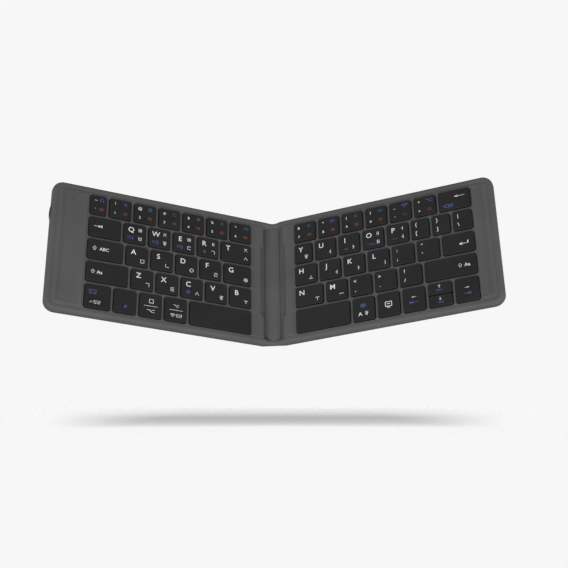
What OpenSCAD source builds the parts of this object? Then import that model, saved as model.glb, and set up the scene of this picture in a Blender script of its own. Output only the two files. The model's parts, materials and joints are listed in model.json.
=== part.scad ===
// Pocket keyboard that folds like a book: two stiff halves on a soft, flat spine.
// Lengths are millimetres. X runs along the open keyboard, Y away from the typist, Z up.
// The origin is the middle of the spine's underside, where the keyboard rests.
// Each half is drawn flat with its fold line at u = 0 and is then swung up by its own tilt.

/* [Body] */
// Thickness of one half without its keys
half_thickness = 6.5; // [6.3:0.1:8]
// Radius of the two outer corners, seen from above
corner_radius = 7.8; // [5:0.1:12]
// Rounding of the upper edge
upper_edge_round = 2; // [1.2:0.1:2.2]
// Rounding of the lower edge
lower_edge_round = 1; // [0.9:0.1:1.3]

/* [Skins] */
// Thickness of the soft skin on the back and round the sides
skin_wall = 0.8; // [0.6:0.1:1]
// Thickness of the soft skin over the keys' frame
top_wall = 0.6; // [0.4:0.1:0.8]
// Height of the bonded seam between the upper and the lower skin
seam_height = 2.6; // [2.2:0.1:3]
// How far the bonded seam stands proud of the side
seam_bead = 0.2; // [0:0.05:0.3]
// Depth of the sunk panels at the outer ends
panel_depth = 0.25; // [0.1:0.05:0.4]
// Distance from the outer side to each sunk panel
panel_inset = 8; // [6.5:0.1:9]
// Distance from each sunk panel to the ends of the half
panel_border = 6.8; // [5:0.1:9]
// Distance from the left half's keys to its sunk panel
left_panel_gap = 2.85; // [2:0.05:5]
// Distance from the right half's keys to its sunk panel
right_panel_gap = 0.75; // [0.5:0.05:2]
// Depth of the pressed line that runs round the rim
rim_groove = 0.25; // [0.1:0.05:0.3]

/* [Fold] */
// Distance from the middle of the spine to each fold line
fold_offset = 8.2; // [8.2:0.1:10]
// Radius of the rolled hem that each half turns on
roll_radius = 0.8; // [0.6:0.05:1]
// Clearance round the rolled hem
roll_clearance = 0.2; // [0.1:0.05:0.3]
// Upswing of the left half in the stored pose
tilt_left = 26.2; // [5:0.1:40]
// Upswing of the right half in the stored pose
tilt_right = 18.2; // [5:0.1:40]
// Width of the flat floor between the two creases
spine_floor = 10.6; // [9:0.1:11]
// Thickness of the stiff strip inside the spine
stiffener_wall = 0.8; // [0.5:0.1:0.9]
// Thickness of the soft skin on the inside of the spine
inner_wall = 0.6; // [0.4:0.1:0.7]
// Distance from the fold line to the stiff inner end of a half
end_relief = 2; // [1.9:0.1:3]
// The same distance low down, where the end clears the spine's strip
low_relief = 1.2; // [1.1:0.1:1.6]
// The same distance along the stepped-back stretch in the middle
middle_relief = 3.3; // [2.6:0.1:4]
// Length of the stepped-back stretch
middle_length = 56; // [30:1:70]
// How far the soft crest of a crease stands in front of the stiff end
crest_width = 1.25; // [0.8:0.05:1.4]

/* [Keys] */
// Distance between neighbouring keys along a row
key_pitch = 17.55; // [17.3:0.05:17.8]
// Length of the left half's rows, counted in key distances
left_rows = 6.77; // [6.7:0.01:7.2]
// Length of the right half's rows, counted in key distances
right_rows = 7.405; // [7.35:0.005:7.8]
// Distance between neighbouring rows
row_pitch = 17.1; // [16.5:0.1:17.6]
// Free width between two keys of a row
column_gap = 2.25; // [2:0.05:2.8]
// Free depth between two rows
row_gap = 2.5; // [2.1:0.1:3]
// Depth of the keys in the row nearest the typist
last_row_depth = 17.1; // [15:0.1:17.5]
// Border between the far edge and the first row
far_border = 7; // [5:0.1:8]
// Border between the last row and the typist's edge
near_border = 4.8; // [4:0.1:8]
// Width of the left half's end bay, outside its keys
left_bay = 24.8; // [23:0.1:28]
// Border between the left fold line and the keys
left_inner_border = 9.95; // [8:0.05:11]
// Border between the right fold line and the keys
right_inner_border = 8.9; // [7.5:0.05:11]
// Height of a key's top over the skin
key_height = 1.5; // [1.2:0.1:1.6]
// How far a key travels
key_travel = 1.3; // [0.8:0.1:1.4]
// Clearance between a key and its window
key_clearance = 0.3; // [0.2:0.05:0.4]
// Corner radius of a key, seen from above
key_corner = 1.3; // [1.1:0.1:2]
// Rounding of a key's upper edge
key_edge_round = 0.5; // [0.3:0.05:0.6]
// Wall of the hollow keycap
cap_wall = 0.9; // [0.7:0.1:1.1]
// Thickness of the keycap under its top
cap_roof = 1; // [0.8:0.1:1.1]
// Height of the keycap from its rim to its top
cap_height = 3.4; // [3.2:0.1:3.6]
// Gap between the two half-depth arrow keys
arrow_gap = 0.6; // [0.4:0.1:1]

/* [Inside] */
// Thickness of the steel base plate
plate_wall = 0.5; // [0.4:0.1:0.5]
// Thickness of the printed membrane
membrane_wall = 0.3; // [0.2:0.05:0.3]
// Thickness of the rubber sheet that carries the domes
sheet_wall = 0.3; // [0.2:0.05:0.3]
// Border between the sides of a half and its membrane
field_border = 3; // [2.5:0.1:4]
// How far the membrane reaches past the keys, towards the fold
field_lap = 5; // [3:0.1:5.2]
// Clearance between a scissor and the sides of its keycap
link_clearance = 0.45; // [0.3:0.05:0.8]
// Clearance between a scissor and the near and far walls of its keycap
link_end_clearance = 2; // [1.6:0.1:2.6]
// Gap between the two links of a scissor
link_gap = 0.3; // [0.2:0.05:0.4]
// Width of one bar of a scissor link
link_bar = 0.8; // [0.6:0.1:0.9]
// Thickness of a scissor link
link_wall = 0.7; // [0.5:0.1:0.8]
// Thickness of the roof over the end bays
roof_wall = 0.8; // [0.6:0.1:1]
// Width of the walls along the end bays
bay_wall = 1.6; // [1.2:0.1:1.8]
// Thickness of the walls at the far and near ends of the bays
bay_end_wall = 5; // [4:0.1:7]
// Clearance between the bay's walls and what lies in it
bay_clearance = 0.3; // [0.2:0.05:0.4]
// Length of the battery cell
battery_length = 38; // [30:1:44]
// Width of the battery cell
battery_width = 17; // [12:0.5:18]
// Rounding of the battery cell's edges
battery_corner = 1; // [0.5:0.1:2]
// Gap between the battery cell, its magnet and the main board
battery_gap = 1; // [0.5:0.1:2]
// Thickness of the main board
board_wall = 0.8; // [0.6:0.1:0.8]
// Side of the controller chip
chip_width = 5; // [3:0.5:6]
// Height of the chips over the board
chip_height = 0.9; // [0.6:0.05:0.9]
// Width of the charging socket's mouth
socket_width = 7.6; // [7:0.1:9]
// Height of the charging socket's shell
socket_height = 2.6; // [2.2:0.1:2.7]
// Depth of the charging socket
socket_depth = 5.4; // [4.5:0.1:7]
// Thickness of the socket's shell
shell_wall = 0.4; // [0.3:0.05:0.5]
// Distance from the far edge to the middle of the socket
socket_from_far = 24.2; // [20:0.1:32]
// Length of the dark bezel round the socket
bezel_length = 11.4; // [10:0.1:16]
// Height of the bezel over the socket
bezel_border = 0.7; // [0.3:0.1:0.8]
// How far the bezel stands proud of the side
bezel_proud = 0.6; // [0.2:0.1:0.8]
// Distance from the outer side to the indicator lens
lens_from_side = 14.4; // [12:0.1:17]
// Distance from the far edge to the indicator lens
lens_from_far = 12.4; // [10:0.1:15]
// Radius of the indicator lens
lens_radius = 0.7; // [0.5:0.05:1]
// Radius of a closing magnet
magnet_radius = 3; // [2:0.1:3.2]
// Thickness of a closing magnet
magnet_wall = 1.6; // [1:0.1:2]
// Width of the ribbon cable that crosses the spine
ribbon_width = 12; // [8:0.5:16]
// Thickness of the ribbon cable
ribbon_wall = 0.15; // [0.1:0.05:0.2]
// Distance from the far edge to the middle of the ribbon cable
ribbon_from_far = 14; // [10:0.5:20]
// Height of the ribbon cable over what it crosses
ribbon_lift = 0.3; // [0.2:0.05:0.4]
// Clearance beside the ribbon cable and over the stiff foot of each half
slot_clearance = 0.5; // [0.3:0.1:0.6]
// Paper-thin space between glued or stacked pieces
fit = 0.05; // [0.03:0.01:0.06]

/* [Hidden] */
$fn = 48;
LEFT = 0;
RIGHT = 1;
// Overshoot of a cutting body past the face that it cuts
over = 1;

skin_colour = [0.33, 0.33, 0.33];
frame_colour = [0.36, 0.36, 0.36];
key_colour = [0.17, 0.17, 0.17];
steel_colour = [0.7, 0.71, 0.73];

// Every key: its name, its width in pitches (0 fills the row up to the fold) and the node it
// belongs to. Rows run from the far edge to the typist, and each row from the outer side inwards.
LEFT_KEYS = [
    [["grave", 0.76, "number_keys_left"], ["1", 1, "number_keys_left"],
     ["2", 1, "number_keys_left"], ["3", 1, "number_keys_left"], ["4", 1, "number_keys_left"],
     ["5", 1, "number_keys_left"], ["6", 0, "number_keys_left"]],
    [["tab", 1.38, "left_modifier_keys"], ["q", 1, "key_q"], ["w", 1, "key_w"],
     ["e", 1, "key_e"], ["r", 1, "key_r"], ["t", 0, "key_t"]],
    [["caps", 1.51, "left_modifier_keys"], ["a", 1, "key_a"], ["s", 1, "key_s"],
     ["d", 1, "key_d"], ["f", 1, "key_f"], ["g", 0, "key_g"]],
    [["shift", 1.75, "left_modifier_keys"], ["z", 1, "key_z"], ["x", 1, "key_x"],
     ["c", 1, "key_c"], ["v", 1, "key_v"], ["b", 0, "key_b"]],
    [["control", 1.12, "left_modifier_keys"], ["function", 1, "left_modifier_keys"],
     ["option", 1, "left_modifier_keys"], ["alternate", 1, "left_modifier_keys"],
     ["space", 0, "space_key_left"]],
];
RIGHT_KEYS = [
    [["backspace", 1.37, "right_modifier_keys"], ["equals", 1, "number_keys_right"],
     ["minus", 1, "number_keys_right"], ["0", 1, "number_keys_right"],
     ["9", 1, "number_keys_right"], ["8", 1, "number_keys_right"],
     ["7", 0, "number_keys_right"]],
    [["backslash", 0.87, "punctuation_keys"], ["close", 0.835, "punctuation_keys"],
     ["open", 0.835, "punctuation_keys"], ["p", 1, "key_p"], ["o", 1, "key_o"],
     ["i", 1, "key_i"], ["u", 1, "key_u"], ["y", 0, "key_y"]],
    [["enter", 1.37, "right_modifier_keys"], ["quote", 1, "punctuation_keys"],
     ["semicolon", 1, "punctuation_keys"], ["l", 1, "key_l"], ["k", 1, "key_k"],
     ["j", 1, "key_j"], ["h", 0, "key_h"]],
    [["shift", 2.13, "right_modifier_keys"], ["slash", 1, "punctuation_keys"],
     ["period", 1, "punctuation_keys"], ["comma", 1, "punctuation_keys"],
     ["m", 1, "key_m"], ["n", 0, "key_n"]],
    [["end", 1.03, "right_modifier_keys"], ["arrows", 1.04, "right_modifier_keys"],
     ["home", 1, "right_modifier_keys"], ["screen", 1, "right_modifier_keys"],
     ["language", 1, "right_modifier_keys"], ["space", 0, "space_key_right"]],
];
LETTERS = "abcdefghijklmnopqrstuvwxyz";
KEY_GROUPS = ["number_keys_left", "number_keys_right", "punctuation_keys",
              "left_modifier_keys", "right_modifier_keys", "space_key_left", "space_key_right"];
KEY_NODES = concat([for (letter = LETTERS) str("key_", letter)], KEY_GROUPS);
BODY_NODES = [
    "spine_back_skin", "spine_stiffener", "spine_inner_skin", "flex_cable",
    "left_crease_skin", "right_crease_skin",
    "left_back_skin", "left_base_plate", "left_membrane", "left_dome_sheet", "left_scissors",
    "left_key_frame", "left_top_skin",
    "right_back_skin", "right_base_plate", "right_membrane", "right_dome_sheet",
    "right_scissors", "right_key_frame", "right_top_skin",
    "battery_cell", "main_board", "charge_socket", "port_bezel", "indicator_lens",
    "left_magnets", "right_magnets",
];

// The keys, their borders and the battery's bay set the size of a half, to a tenth
half_length = keys_outer(LEFT) + left_bay;
body_depth = far_border + (len(LEFT_KEYS) - 1) * row_pitch + last_row_depth + near_border;

// Heights inside a half, from its underside up
fold_height = roll_radius;
plate_top = skin_wall + plate_wall;
membrane_top = plate_top + membrane_wall;
sheet_top = membrane_top + sheet_wall;
deck_top = half_thickness - top_wall;
roof_low = deck_top - roof_wall;
cap_top = half_thickness + key_height;
cap_low = cap_top - cap_height;
cap_ceiling = cap_top - cap_roof;
dome_top = cap_low - fit;
// The low part of a half's end clears the spine's strip when the half stands upright
relief_height = fold_height + fold_offset - spine_floor / 2 - roll_clearance;
deck_shoulder = half_thickness - upper_edge_round - 2 * fit;
frame_inset = skin_wall + fit;
deck_inset = upper_edge_round + 4 * fit;
spine_length = body_depth - 4 * roll_clearance;

// The narrowest key, named grave, sets the size of every scissor, and each dome fits inside its
// scissor
narrow_cap = LEFT_KEYS[0][0][1] * key_pitch - column_gap;
link_low = sheet_top + link_wall / 2 + 2 * fit;
link_high = cap_ceiling - link_wall;
link_rise = link_high - link_low;
link_reach = row_pitch - row_gap - 2 * cap_wall - 2 * link_end_clearance;
link_length = sqrt(link_reach * link_reach + link_rise * link_rise);
outer_link = narrow_cap - 2 * cap_wall - 2 * link_clearance;
inner_link = outer_link - 2 * link_bar - 2 * link_gap;
dome_radius = inner_link / 2 - link_bar - 4 * fit;
small_dome_radius = 0.76 * dome_radius;
plunger_radius = 0.46 * dome_radius;

// Along the left bay: a magnet, the battery cell, then the main board up to the far wall
magnet_y = body_depth / 2 - corner_radius - magnet_radius;
battery_near = -magnet_y + magnet_radius + battery_gap;
board_near = battery_near + battery_length + battery_gap;
board_length = body_depth / 2 - bay_end_wall - 2 * bay_clearance - board_near;
socket_offset = body_depth / 2 - socket_from_far;
socket_low = plate_top + fit + board_wall;
bezel_root = frame_inset + bay_wall;
bezel_bulge = (pow(bezel_length / 2, 2) + pow(bezel_proud, 2)) / (2 * bezel_proud);
bezel_low = plate_top + 2 * fit;
bezel_high = socket_low + socket_height + bezel_border;
ribbon_y = body_depth / 2 - ribbon_from_far;
ribbon_low = skin_wall + stiffener_wall + fit;
inner_low = ribbon_low + ribbon_wall + fit;
inner_top = inner_low + inner_wall;

function tilt(half) = half == LEFT ? tilt_left : tilt_right;
function keys(half) = half == LEFT ? LEFT_KEYS : RIGHT_KEYS;
function keys_inner(half) = half == LEFT ? left_inner_border : right_inner_border;
function tenth(length) = round(10 * length) / 10;
function keys_outer(half) =
    tenth(keys_inner(half) + key_pitch * (half == LEFT ? left_rows : right_rows));
function bay_width(half) = half_length - keys_outer(half) - 2 * bay_wall - frame_inset;

// Where a point (u, z) of a flat half lies in the stored pose, as [distance from centre, height]
function swung(half, u, z) = [
    fold_offset + u * cos(tilt(half)) - (z - fold_height) * sin(tilt(half)),
    fold_height + u * sin(tilt(half)) + (z - fold_height) * cos(tilt(half)),
];

function row_far(row) = body_depth / 2 - far_border - row * row_pitch;
function row_depth(half, row) = row == len(keys(half)) - 1 ? last_row_depth : row_pitch - row_gap;
function pitches(list, count) = count == 0 ? 0 : list[count - 1][1] + pitches(list, count - 1);
function cell_outer(half, row, k) = keys_outer(half) - key_pitch * pitches(keys(half)[row], k);
function cell_inner(half, row, k) =
    k == len(keys(half)[row]) - 1 ? keys_inner(half) : cell_outer(half, row, k + 1);
function cap_width(half, row, k) =
    cell_outer(half, row, k) - cell_inner(half, row, k) - column_gap;
// Middle of a key's footprint as [u, y]
function cap_middle(half, row, k) = [
    (cell_outer(half, row, k) + cell_inner(half, row, k)) / 2,
    row_far(row) - row_depth(half, row) / 2,
];
// A wide key stands on two scissors, side by side
function scissor_places(width) = width > 3.4 * outer_link ? [-width / 4, width / 4] : [0];
function is_arrows(half, row, k) = keys(half)[row][k][0] == "arrows";

// ---- Shared shapes ----

module in_half(half) {
    mirror([half == LEFT ? 1 : 0, 0, 0])
        translate([fold_offset, 0, fold_height])
            rotate([0, -tilt(half), 0])
                translate([0, 0, -fold_height])
                    children();
}

module rounded_rectangle(width, depth, radius) {
    square([width - 2 * radius, depth], center = true);
    square([width, depth - 2 * radius], center = true);
    for (x = [-1, 1], y = [-1, 1])
        translate([x * (width / 2 - radius), y * (depth / 2 - radius)])
            circle(radius);
}

// Plan of a half, drawn in by inset, that starts at u = start
module half_plan(start, inset) {
    radius = corner_radius - inset;
    reach = half_length - corner_radius;
    wide = body_depth / 2 - corner_radius;
    translate([start, -wide - radius])
        square([reach - start, 2 * (wide + radius)]);
    translate([start, -wide])
        square([reach + radius - start, 2 * wide]);
    for (y = [-wide, wide])
        translate([reach, y])
            circle(radius);
}

// Sweeps a section round the three outer sides of a half. The section's x runs outwards from
// the corner's centre and its y is the height.
module round_the_rim(start) {
    reach = half_length - corner_radius;
    wide = body_depth / 2 - corner_radius;
    for (side = [0, 1])
        mirror([0, side, 0]) {
            translate([start, wide, 0])
                rotate([90, 0, 90])
                    linear_extrude(reach - start)
                        children();
            translate([reach, wide, 0])
                rotate_extrude(angle = 90)
                    children();
        }
    translate([reach, wide, 0])
        rotate([90, 0, 0])
            linear_extrude(2 * wide)
                children();
}

// Section of a side wall whose outer corner at the given height is rounded
module round_shoulder(reach, low, high, radius) {
    translate([0, low])
        square([reach, high - low - radius]);
    translate([0, low])
        square([reach - radius, high - low]);
    translate([reach - radius, high - radius])
        intersection() {
            circle(radius);
            square(radius);
        }
}

module upper_rim_section() {
    difference() {
        round_shoulder(corner_radius, seam_height, half_thickness, upper_edge_round);
        translate([-over, 0])
            round_shoulder(corner_radius - skin_wall + over, seam_height - over, deck_top,
                           upper_edge_round - top_wall);
        // Pressed line just inside the rim
        translate([corner_radius - 2 * upper_edge_round, half_thickness])
            circle(rim_groove, $fn = 24);
    }
}

module lower_rim_section() {
    translate([0, seam_height])
        mirror([0, 1])
            difference() {
                union() {
                    round_shoulder(corner_radius, 0, seam_height, lower_edge_round);
                    translate([corner_radius - skin_wall, 0])
                        square([skin_wall + seam_bead, 3 * seam_bead]);
                }
                translate([-over, -over])
                    round_shoulder(corner_radius - skin_wall + over, 0,
                                   seam_height - skin_wall + over,
                                   lower_edge_round - skin_wall);
            }
}

module key_windows(half, low, high) {
    for (row = [0 : len(keys(half)) - 1], k = [0 : len(keys(half)[row]) - 1])
        translate(concat(cap_middle(half, row, k), low))
            linear_extrude(high - low)
                rounded_rectangle(cap_width(half, row, k) + 2 * key_clearance,
                                  row_depth(half, row) + 2 * key_clearance,
                                  key_corner + key_clearance);
}

// Clears the stretch along the middle of the fold where the end of a half steps back
module middle_step(low) {
    translate([-over, -middle_length / 2, low])
        cube([middle_relief + over, middle_length, half_thickness]);
}

// ---- Skins of a half ----

// Block from inside the side wall to the given reach past it, where the bezel sits
module port_block(reach, grow) {
    translate([half_length - bezel_root - grow, socket_offset - bezel_length / 2 - grow,
               bezel_low - grow])
        cube([bezel_root + grow + reach, bezel_length + 2 * grow,
              bezel_high - bezel_low + 2 * grow]);
}

module sunk_panel(half) {
    start = keys_outer(half) + (half == LEFT ? left_panel_gap : right_panel_gap);
    finish = half_length - panel_inset;
    translate([(start + finish) / 2, 0, half_thickness - panel_depth])
        linear_extrude(panel_depth + over)
            rounded_rectangle(finish - start, body_depth - 2 * panel_border, key_corner);
}

module top_skin(half) {
    color(skin_colour)
        in_half(half)
            difference() {
                union() {
                    round_the_rim(end_relief)
                        upper_rim_section();
                    translate([0, 0, deck_top])
                        linear_extrude(top_wall)
                            half_plan(end_relief, corner_radius - fit);
                }
                key_windows(half, deck_top - over, half_thickness + over);
                sunk_panel(half);
                middle_step(deck_top - over);
                if (half == LEFT) {
                    port_block(over, fit);
                    lens_place()
                        cylinder(r = lens_radius + fit, h = 2 * half_thickness, center = true);
                }
            }
}

module back_skin(half) {
    color(skin_colour)
        in_half(half)
            difference() {
                union() {
                    round_the_rim(low_relief)
                        lower_rim_section();
                    linear_extrude(skin_wall)
                        half_plan(low_relief, corner_radius - fit);
                    // Rolled hem that the half turns on
                    translate([0, -spine_length / 2, 0])
                        cube([low_relief + fit, spine_length, skin_wall]);
                    translate([0, 0, fold_height])
                        rotate([90, 0, 0])
                            cylinder(r = roll_radius, h = spine_length, center = true);
                }
                if (half == LEFT)
                    port_block(over, fit);
            }
}

// ---- Stack under the keys ----

module base_plate(half) {
    color(steel_colour)
        in_half(half)
            translate([0, 0, skin_wall])
                linear_extrude(plate_wall)
                    half_plan(low_relief + plate_wall, lower_edge_round + fit);
}

// Free field under the keys, inside the frame's outer walls
module key_field(half, low, high, inset) {
    first = keys_inner(half) - field_lap + inset;
    wide = body_depth / 2 - field_border - inset;
    translate([first, -wide, low])
        cube([keys_outer(half) - first - inset, 2 * wide, high - low]);
}

module membrane(half) {
    color([0.75, 0.72, 0.6])
        in_half(half)
            key_field(half, plate_top, membrane_top, fit);
}

module dome(radius) {
    cylinder(r1 = radius, r2 = 0.6 * radius, h = dome_top - sheet_top);
}

module dome_sheet(half) {
    color([0.85, 0.85, 0.82])
        in_half(half) {
            key_field(half, membrane_top, sheet_top, fit);
            for (row = [0 : len(keys(half)) - 1], k = [0 : len(keys(half)[row]) - 1])
                translate(concat(cap_middle(half, row, k), sheet_top))
                    if (is_arrows(half, row, k))
                        arrow_places(row_depth(half, row))
                            dome(small_dome_radius);
                    else
                        dome(dome_radius);
        }
}

// One link: a frame of two bars and two rungs that leans by angle about its middle pin
module scissor_link(width, angle, pin) {
    rotate([angle, 0, 0])
        difference() {
            cube([width, link_length, link_wall], center = true);
            cube([width - 2 * link_bar, link_length - 2 * link_bar, over + link_wall],
                 center = true);
        }
    if (pin > 0)
        for (side = [-1, 1])
            translate([side * (width / 2 + pin / 2 - fit), 0, 0])
                rotate([0, 90, 0])
                    cylinder(r = link_wall / 2 - fit, h = pin, center = true);
}

module scissor_pair() {
    lean = atan(link_rise / link_reach);
    translate([0, 0, (link_low + link_high) / 2]) {
        scissor_link(inner_link, lean, link_gap - fit);
        scissor_link(outer_link, -lean, 0);
    }
}

module scissors(half) {
    color("white")
        in_half(half)
            for (row = [0 : len(keys(half)) - 1], k = [0 : len(keys(half)[row]) - 1])
                if (!is_arrows(half, row, k))
                    translate(cap_middle(half, row, k))
                        for (place = scissor_places(cap_width(half, row, k)))
                            translate([place, 0, 0])
                                scissor_pair();
}

// ---- Frame of a half ----

module lens_place() {
    translate([half_length - lens_from_side, body_depth / 2 - lens_from_far, half_thickness])
        children();
}

module magnet_places(half) {
    for (side = [-1, 1])
        translate([half_length - bezel_root - magnet_radius - 2 * bay_clearance,
                   side * magnet_y, 0])
            children();
}

// Hollow bay outside the keys
module end_bay(half) {
    wide = body_depth / 2 - bay_end_wall;
    translate([keys_outer(half) + bay_wall, -wide, plate_top - over])
        cube([bay_width(half), 2 * wide, roof_low - plate_top + over]);
}

module key_frame(half) {
    color(frame_colour)
        in_half(half)
            difference() {
                union() {
                    translate([0, 0, plate_top])
                        linear_extrude(deck_shoulder - plate_top)
                            half_plan(end_relief, frame_inset);
                    translate([0, 0, deck_shoulder])
                        linear_extrude(deck_top - deck_shoulder)
                            half_plan(end_relief, deck_inset);
                    // Foot that reaches under the end step, towards the fold
                    translate([low_relief, -body_depth / 2 + frame_inset, plate_top])
                        cube([end_relief, body_depth - 2 * frame_inset,
                              relief_height - plate_top]);
                }
                key_windows(half, plate_top, half_thickness);
                key_field(half, plate_top - over, sheet_top + fit, 0);
                end_bay(half);
                middle_step(relief_height + slot_clearance);
                // Slot that lets the ribbon cable in
                translate([0, ribbon_y - ribbon_width / 2 - slot_clearance, plate_top])
                    cube([keys_inner(half), ribbon_width + 2 * slot_clearance,
                          sheet_top + 3 * ribbon_lift - plate_top]);
                if (half == LEFT) {
                    port_block(over, fit);
                    lens_place()
                        cylinder(r = lens_radius + fit, h = 2 * half_thickness, center = true);
                }
            }
}

// ---- Electronics and closure ----

module battery_cell() {
    color("silver")
        in_half(LEFT)
            translate([keys_outer(LEFT) + bay_wall + bay_width(LEFT) / 2,
                       battery_near + battery_length / 2, plate_top])
                linear_extrude(roof_low - plate_top - bay_clearance)
                    rounded_rectangle(battery_width, battery_length, battery_corner);
}

module main_board() {
    color("darkgreen")
        in_half(LEFT)
            translate([keys_outer(LEFT) + bay_wall + bay_clearance, board_near,
                       plate_top + fit]) {
                cube([bay_width(LEFT) - 2 * bay_clearance, board_length, board_wall - fit]);
                // Controller, radio and the ribbon's connector
                translate([0.6 * chip_width, 0.8 * chip_width, 0])
                    cube([chip_width, chip_width, board_wall + chip_height]);
                translate([2 * chip_width, 0.6 * chip_width, 0])
                    cube([0.8 * chip_width, 1.2 * chip_width, board_wall + chip_height]);
                translate([0.4 * chip_width, board_length - ribbon_width - 0.4 * chip_width, 0])
                    cube([0.6 * chip_width, ribbon_width - 0.4 * chip_width,
                          board_wall + 1.3 * chip_height]);
            }
}

module charge_socket() {
    tongue = [socket_depth - 3 * shell_wall, socket_width - 8 * shell_wall, 1.5 * shell_wall];
    color("silver")
        in_half(LEFT)
            translate([half_length - socket_depth, socket_offset,
                       socket_low + socket_height / 2]) {
                rotate([90, 0, 90])
                    difference() {
                        linear_extrude(socket_depth)
                            rounded_rectangle(socket_width, socket_height, 1.5 * shell_wall);
                        translate([0, 0, 2 * shell_wall])
                            linear_extrude(socket_depth)
                                rounded_rectangle(socket_width - 2 * shell_wall,
                                                  socket_height - 2 * shell_wall, shell_wall);
                    }
                // Tongue with the contacts
                translate([shell_wall, -tongue[1] / 2, -tongue[2] / 2])
                    cube(tongue);
            }
}

module port_bezel() {
    color([0.15, 0.15, 0.15])
        in_half(LEFT)
            difference() {
                intersection() {
                    port_block(bezel_proud, 0);
                    // The outer face bulges from flush at both ends to proud in the middle
                    translate([half_length + bezel_proud - bezel_bulge, socket_offset, 0])
                        cylinder(r = bezel_bulge, h = half_thickness);
                }
                translate([half_length - bezel_root - over, socket_offset,
                           socket_low + socket_height / 2])
                    rotate([90, 0, 90])
                        linear_extrude(bezel_root + 2 * over)
                            rounded_rectangle(socket_width + 6 * fit, socket_height + 6 * fit,
                                              1.5 * shell_wall + 2 * fit);
            }
}

module indicator_lens() {
    color([0.1, 0.1, 0.12])
        in_half(LEFT)
            lens_place()
                translate([0, 0, -top_wall - roof_wall])
                    cylinder(r = lens_radius, h = top_wall + roof_wall - panel_depth);
}

module magnets(half) {
    color("silver")
        in_half(half)
            magnet_places(half)
                translate([0, 0, roof_low - magnet_wall - fit])
                    cylinder(r = magnet_radius, h = magnet_wall);
}

// ---- Keys ----

// Section of a keycap across one direction, with rounded upper edges
module cap_section(width) {
    translate([-width / 2, cap_low])
        square([width, cap_top - cap_low - key_edge_round]);
    translate([key_edge_round - width / 2, cap_low])
        square([width - 2 * key_edge_round, cap_top - cap_low]);
    for (side = [-1, 1])
        translate([side * (width / 2 - key_edge_round), cap_top - key_edge_round])
            circle(key_edge_round);
}

module keycap(width, depth) {
    difference() {
        intersection() {
            translate([0, 0, cap_low])
                linear_extrude(cap_top - cap_low)
                    rounded_rectangle(width, depth, key_corner);
            rotate([90, 0, 0])
                linear_extrude(depth, center = true)
                    cap_section(width);
            rotate([90, 0, 90])
                linear_extrude(width, center = true)
                    cap_section(depth);
        }
        translate([0, 0, cap_low - over])
            linear_extrude(cap_ceiling - cap_low + over)
                rounded_rectangle(width - 2 * cap_wall, depth - 2 * cap_wall, key_corner / 2);
    }
    // Plunger that presses the dome
    translate([0, 0, cap_low])
        cylinder(r = plunger_radius, h = cap_ceiling - cap_low + fit);
}

// Middles of the two half-depth arrow keys, which share one window
module arrow_places(depth) {
    for (side = [-1, 1])
        translate([0, side * (depth + arrow_gap) / 4, 0])
            children();
}

module key_set(name) {
    color(key_colour)
        for (half = [LEFT, RIGHT], row = [0 : len(keys(half)) - 1],
             k = [0 : len(keys(half)[row]) - 1])
            if (keys(half)[row][k][2] == name)
                in_half(half)
                    translate(cap_middle(half, row, k))
                        if (is_arrows(half, row, k))
                            arrow_places(row_depth(half, row))
                                keycap(cap_width(half, row, k),
                                       (row_depth(half, row) - arrow_gap) / 2);
                        else
                            keycap(cap_width(half, row, k), row_depth(half, row));
}

// ---- Spine ----

module along_spine(length) {
    rotate([90, 0, 0])
        linear_extrude(length, center = true)
            children();
}

module spine_back_skin() {
    color(skin_colour)
        difference() {
            along_spine(spine_length)
                translate([-fold_offset, 0])
                    square([2 * fold_offset, skin_wall]);
            for (side = [-1, 1])
                translate([side * fold_offset, 0, fold_height])
                    rotate([90, 0, 0])
                        cylinder(r = roll_radius + roll_clearance, h = body_depth, center = true);
        }
}

module spine_stiffener() {
    reach = fold_offset - roll_radius - 3 * roll_clearance;
    color([0.5, 0.45, 0.38])
        along_spine(spine_length - 5 * stiffener_wall)
            translate([-reach, skin_wall])
                square([2 * reach, stiffener_wall]);
}

module spine_inner_skin() {
    color(skin_colour)
        along_spine(spine_length)
            translate([-spine_floor / 2, inner_low])
                square([spine_floor, inner_wall]);
}

// Section of the soft skin that rises from the spine's floor to a crest before the stiff end
module crease_section(half, stiff_end) {
    crest = stiff_end - crest_width;
    polygon([
        [spine_floor / 2, inner_low],
        [spine_floor / 2, inner_top],
        swung(half, crest, half_thickness),
        swung(half, stiff_end - fit, half_thickness),
        swung(half, stiff_end - fit, deck_top),
        swung(half, crest + top_wall, deck_top),
        [spine_floor / 2 + top_wall, inner_low],
    ]);
}

module crease_skin(half) {
    side_length = (spine_length - middle_length) / 2;
    color(skin_colour)
        mirror([half == LEFT ? 1 : 0, 0, 0]) {
            along_spine(middle_length)
                crease_section(half, middle_relief);
            for (side = [-1, 1])
                translate([0, side * (middle_length + side_length) / 2, 0])
                    along_spine(side_length)
                        crease_section(half, end_relief);
        }
}

// Ribbon cable from one membrane to the other, over both rolled hems
module flex_cable() {
    function run(half, lift) = [
        [fold_offset - roll_radius - 3 * roll_clearance, ribbon_low + lift],
        swung(half, 0, fold_height + roll_radius + ribbon_lift + lift),
        swung(half, low_relief, sheet_top + ribbon_lift + lift),
        swung(half, keys_inner(half) - 0.6 * field_lap, sheet_top + ribbon_lift + lift),
    ];
    function mirrored(points) = [for (p = points) [-p[0], p[1]]];
    function backwards(points) = [for (i = [len(points) - 1 : -1 : 0]) points[i]];
    color("darkorange")
        translate([0, ribbon_y, 0])
            along_spine(ribbon_width)
                polygon(concat(
                    backwards(mirrored(run(LEFT, 0))),
                    run(RIGHT, 0),
                    backwards(run(RIGHT, ribbon_wall)),
                    mirrored(run(LEFT, ribbon_wall))
                ));
}

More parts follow.
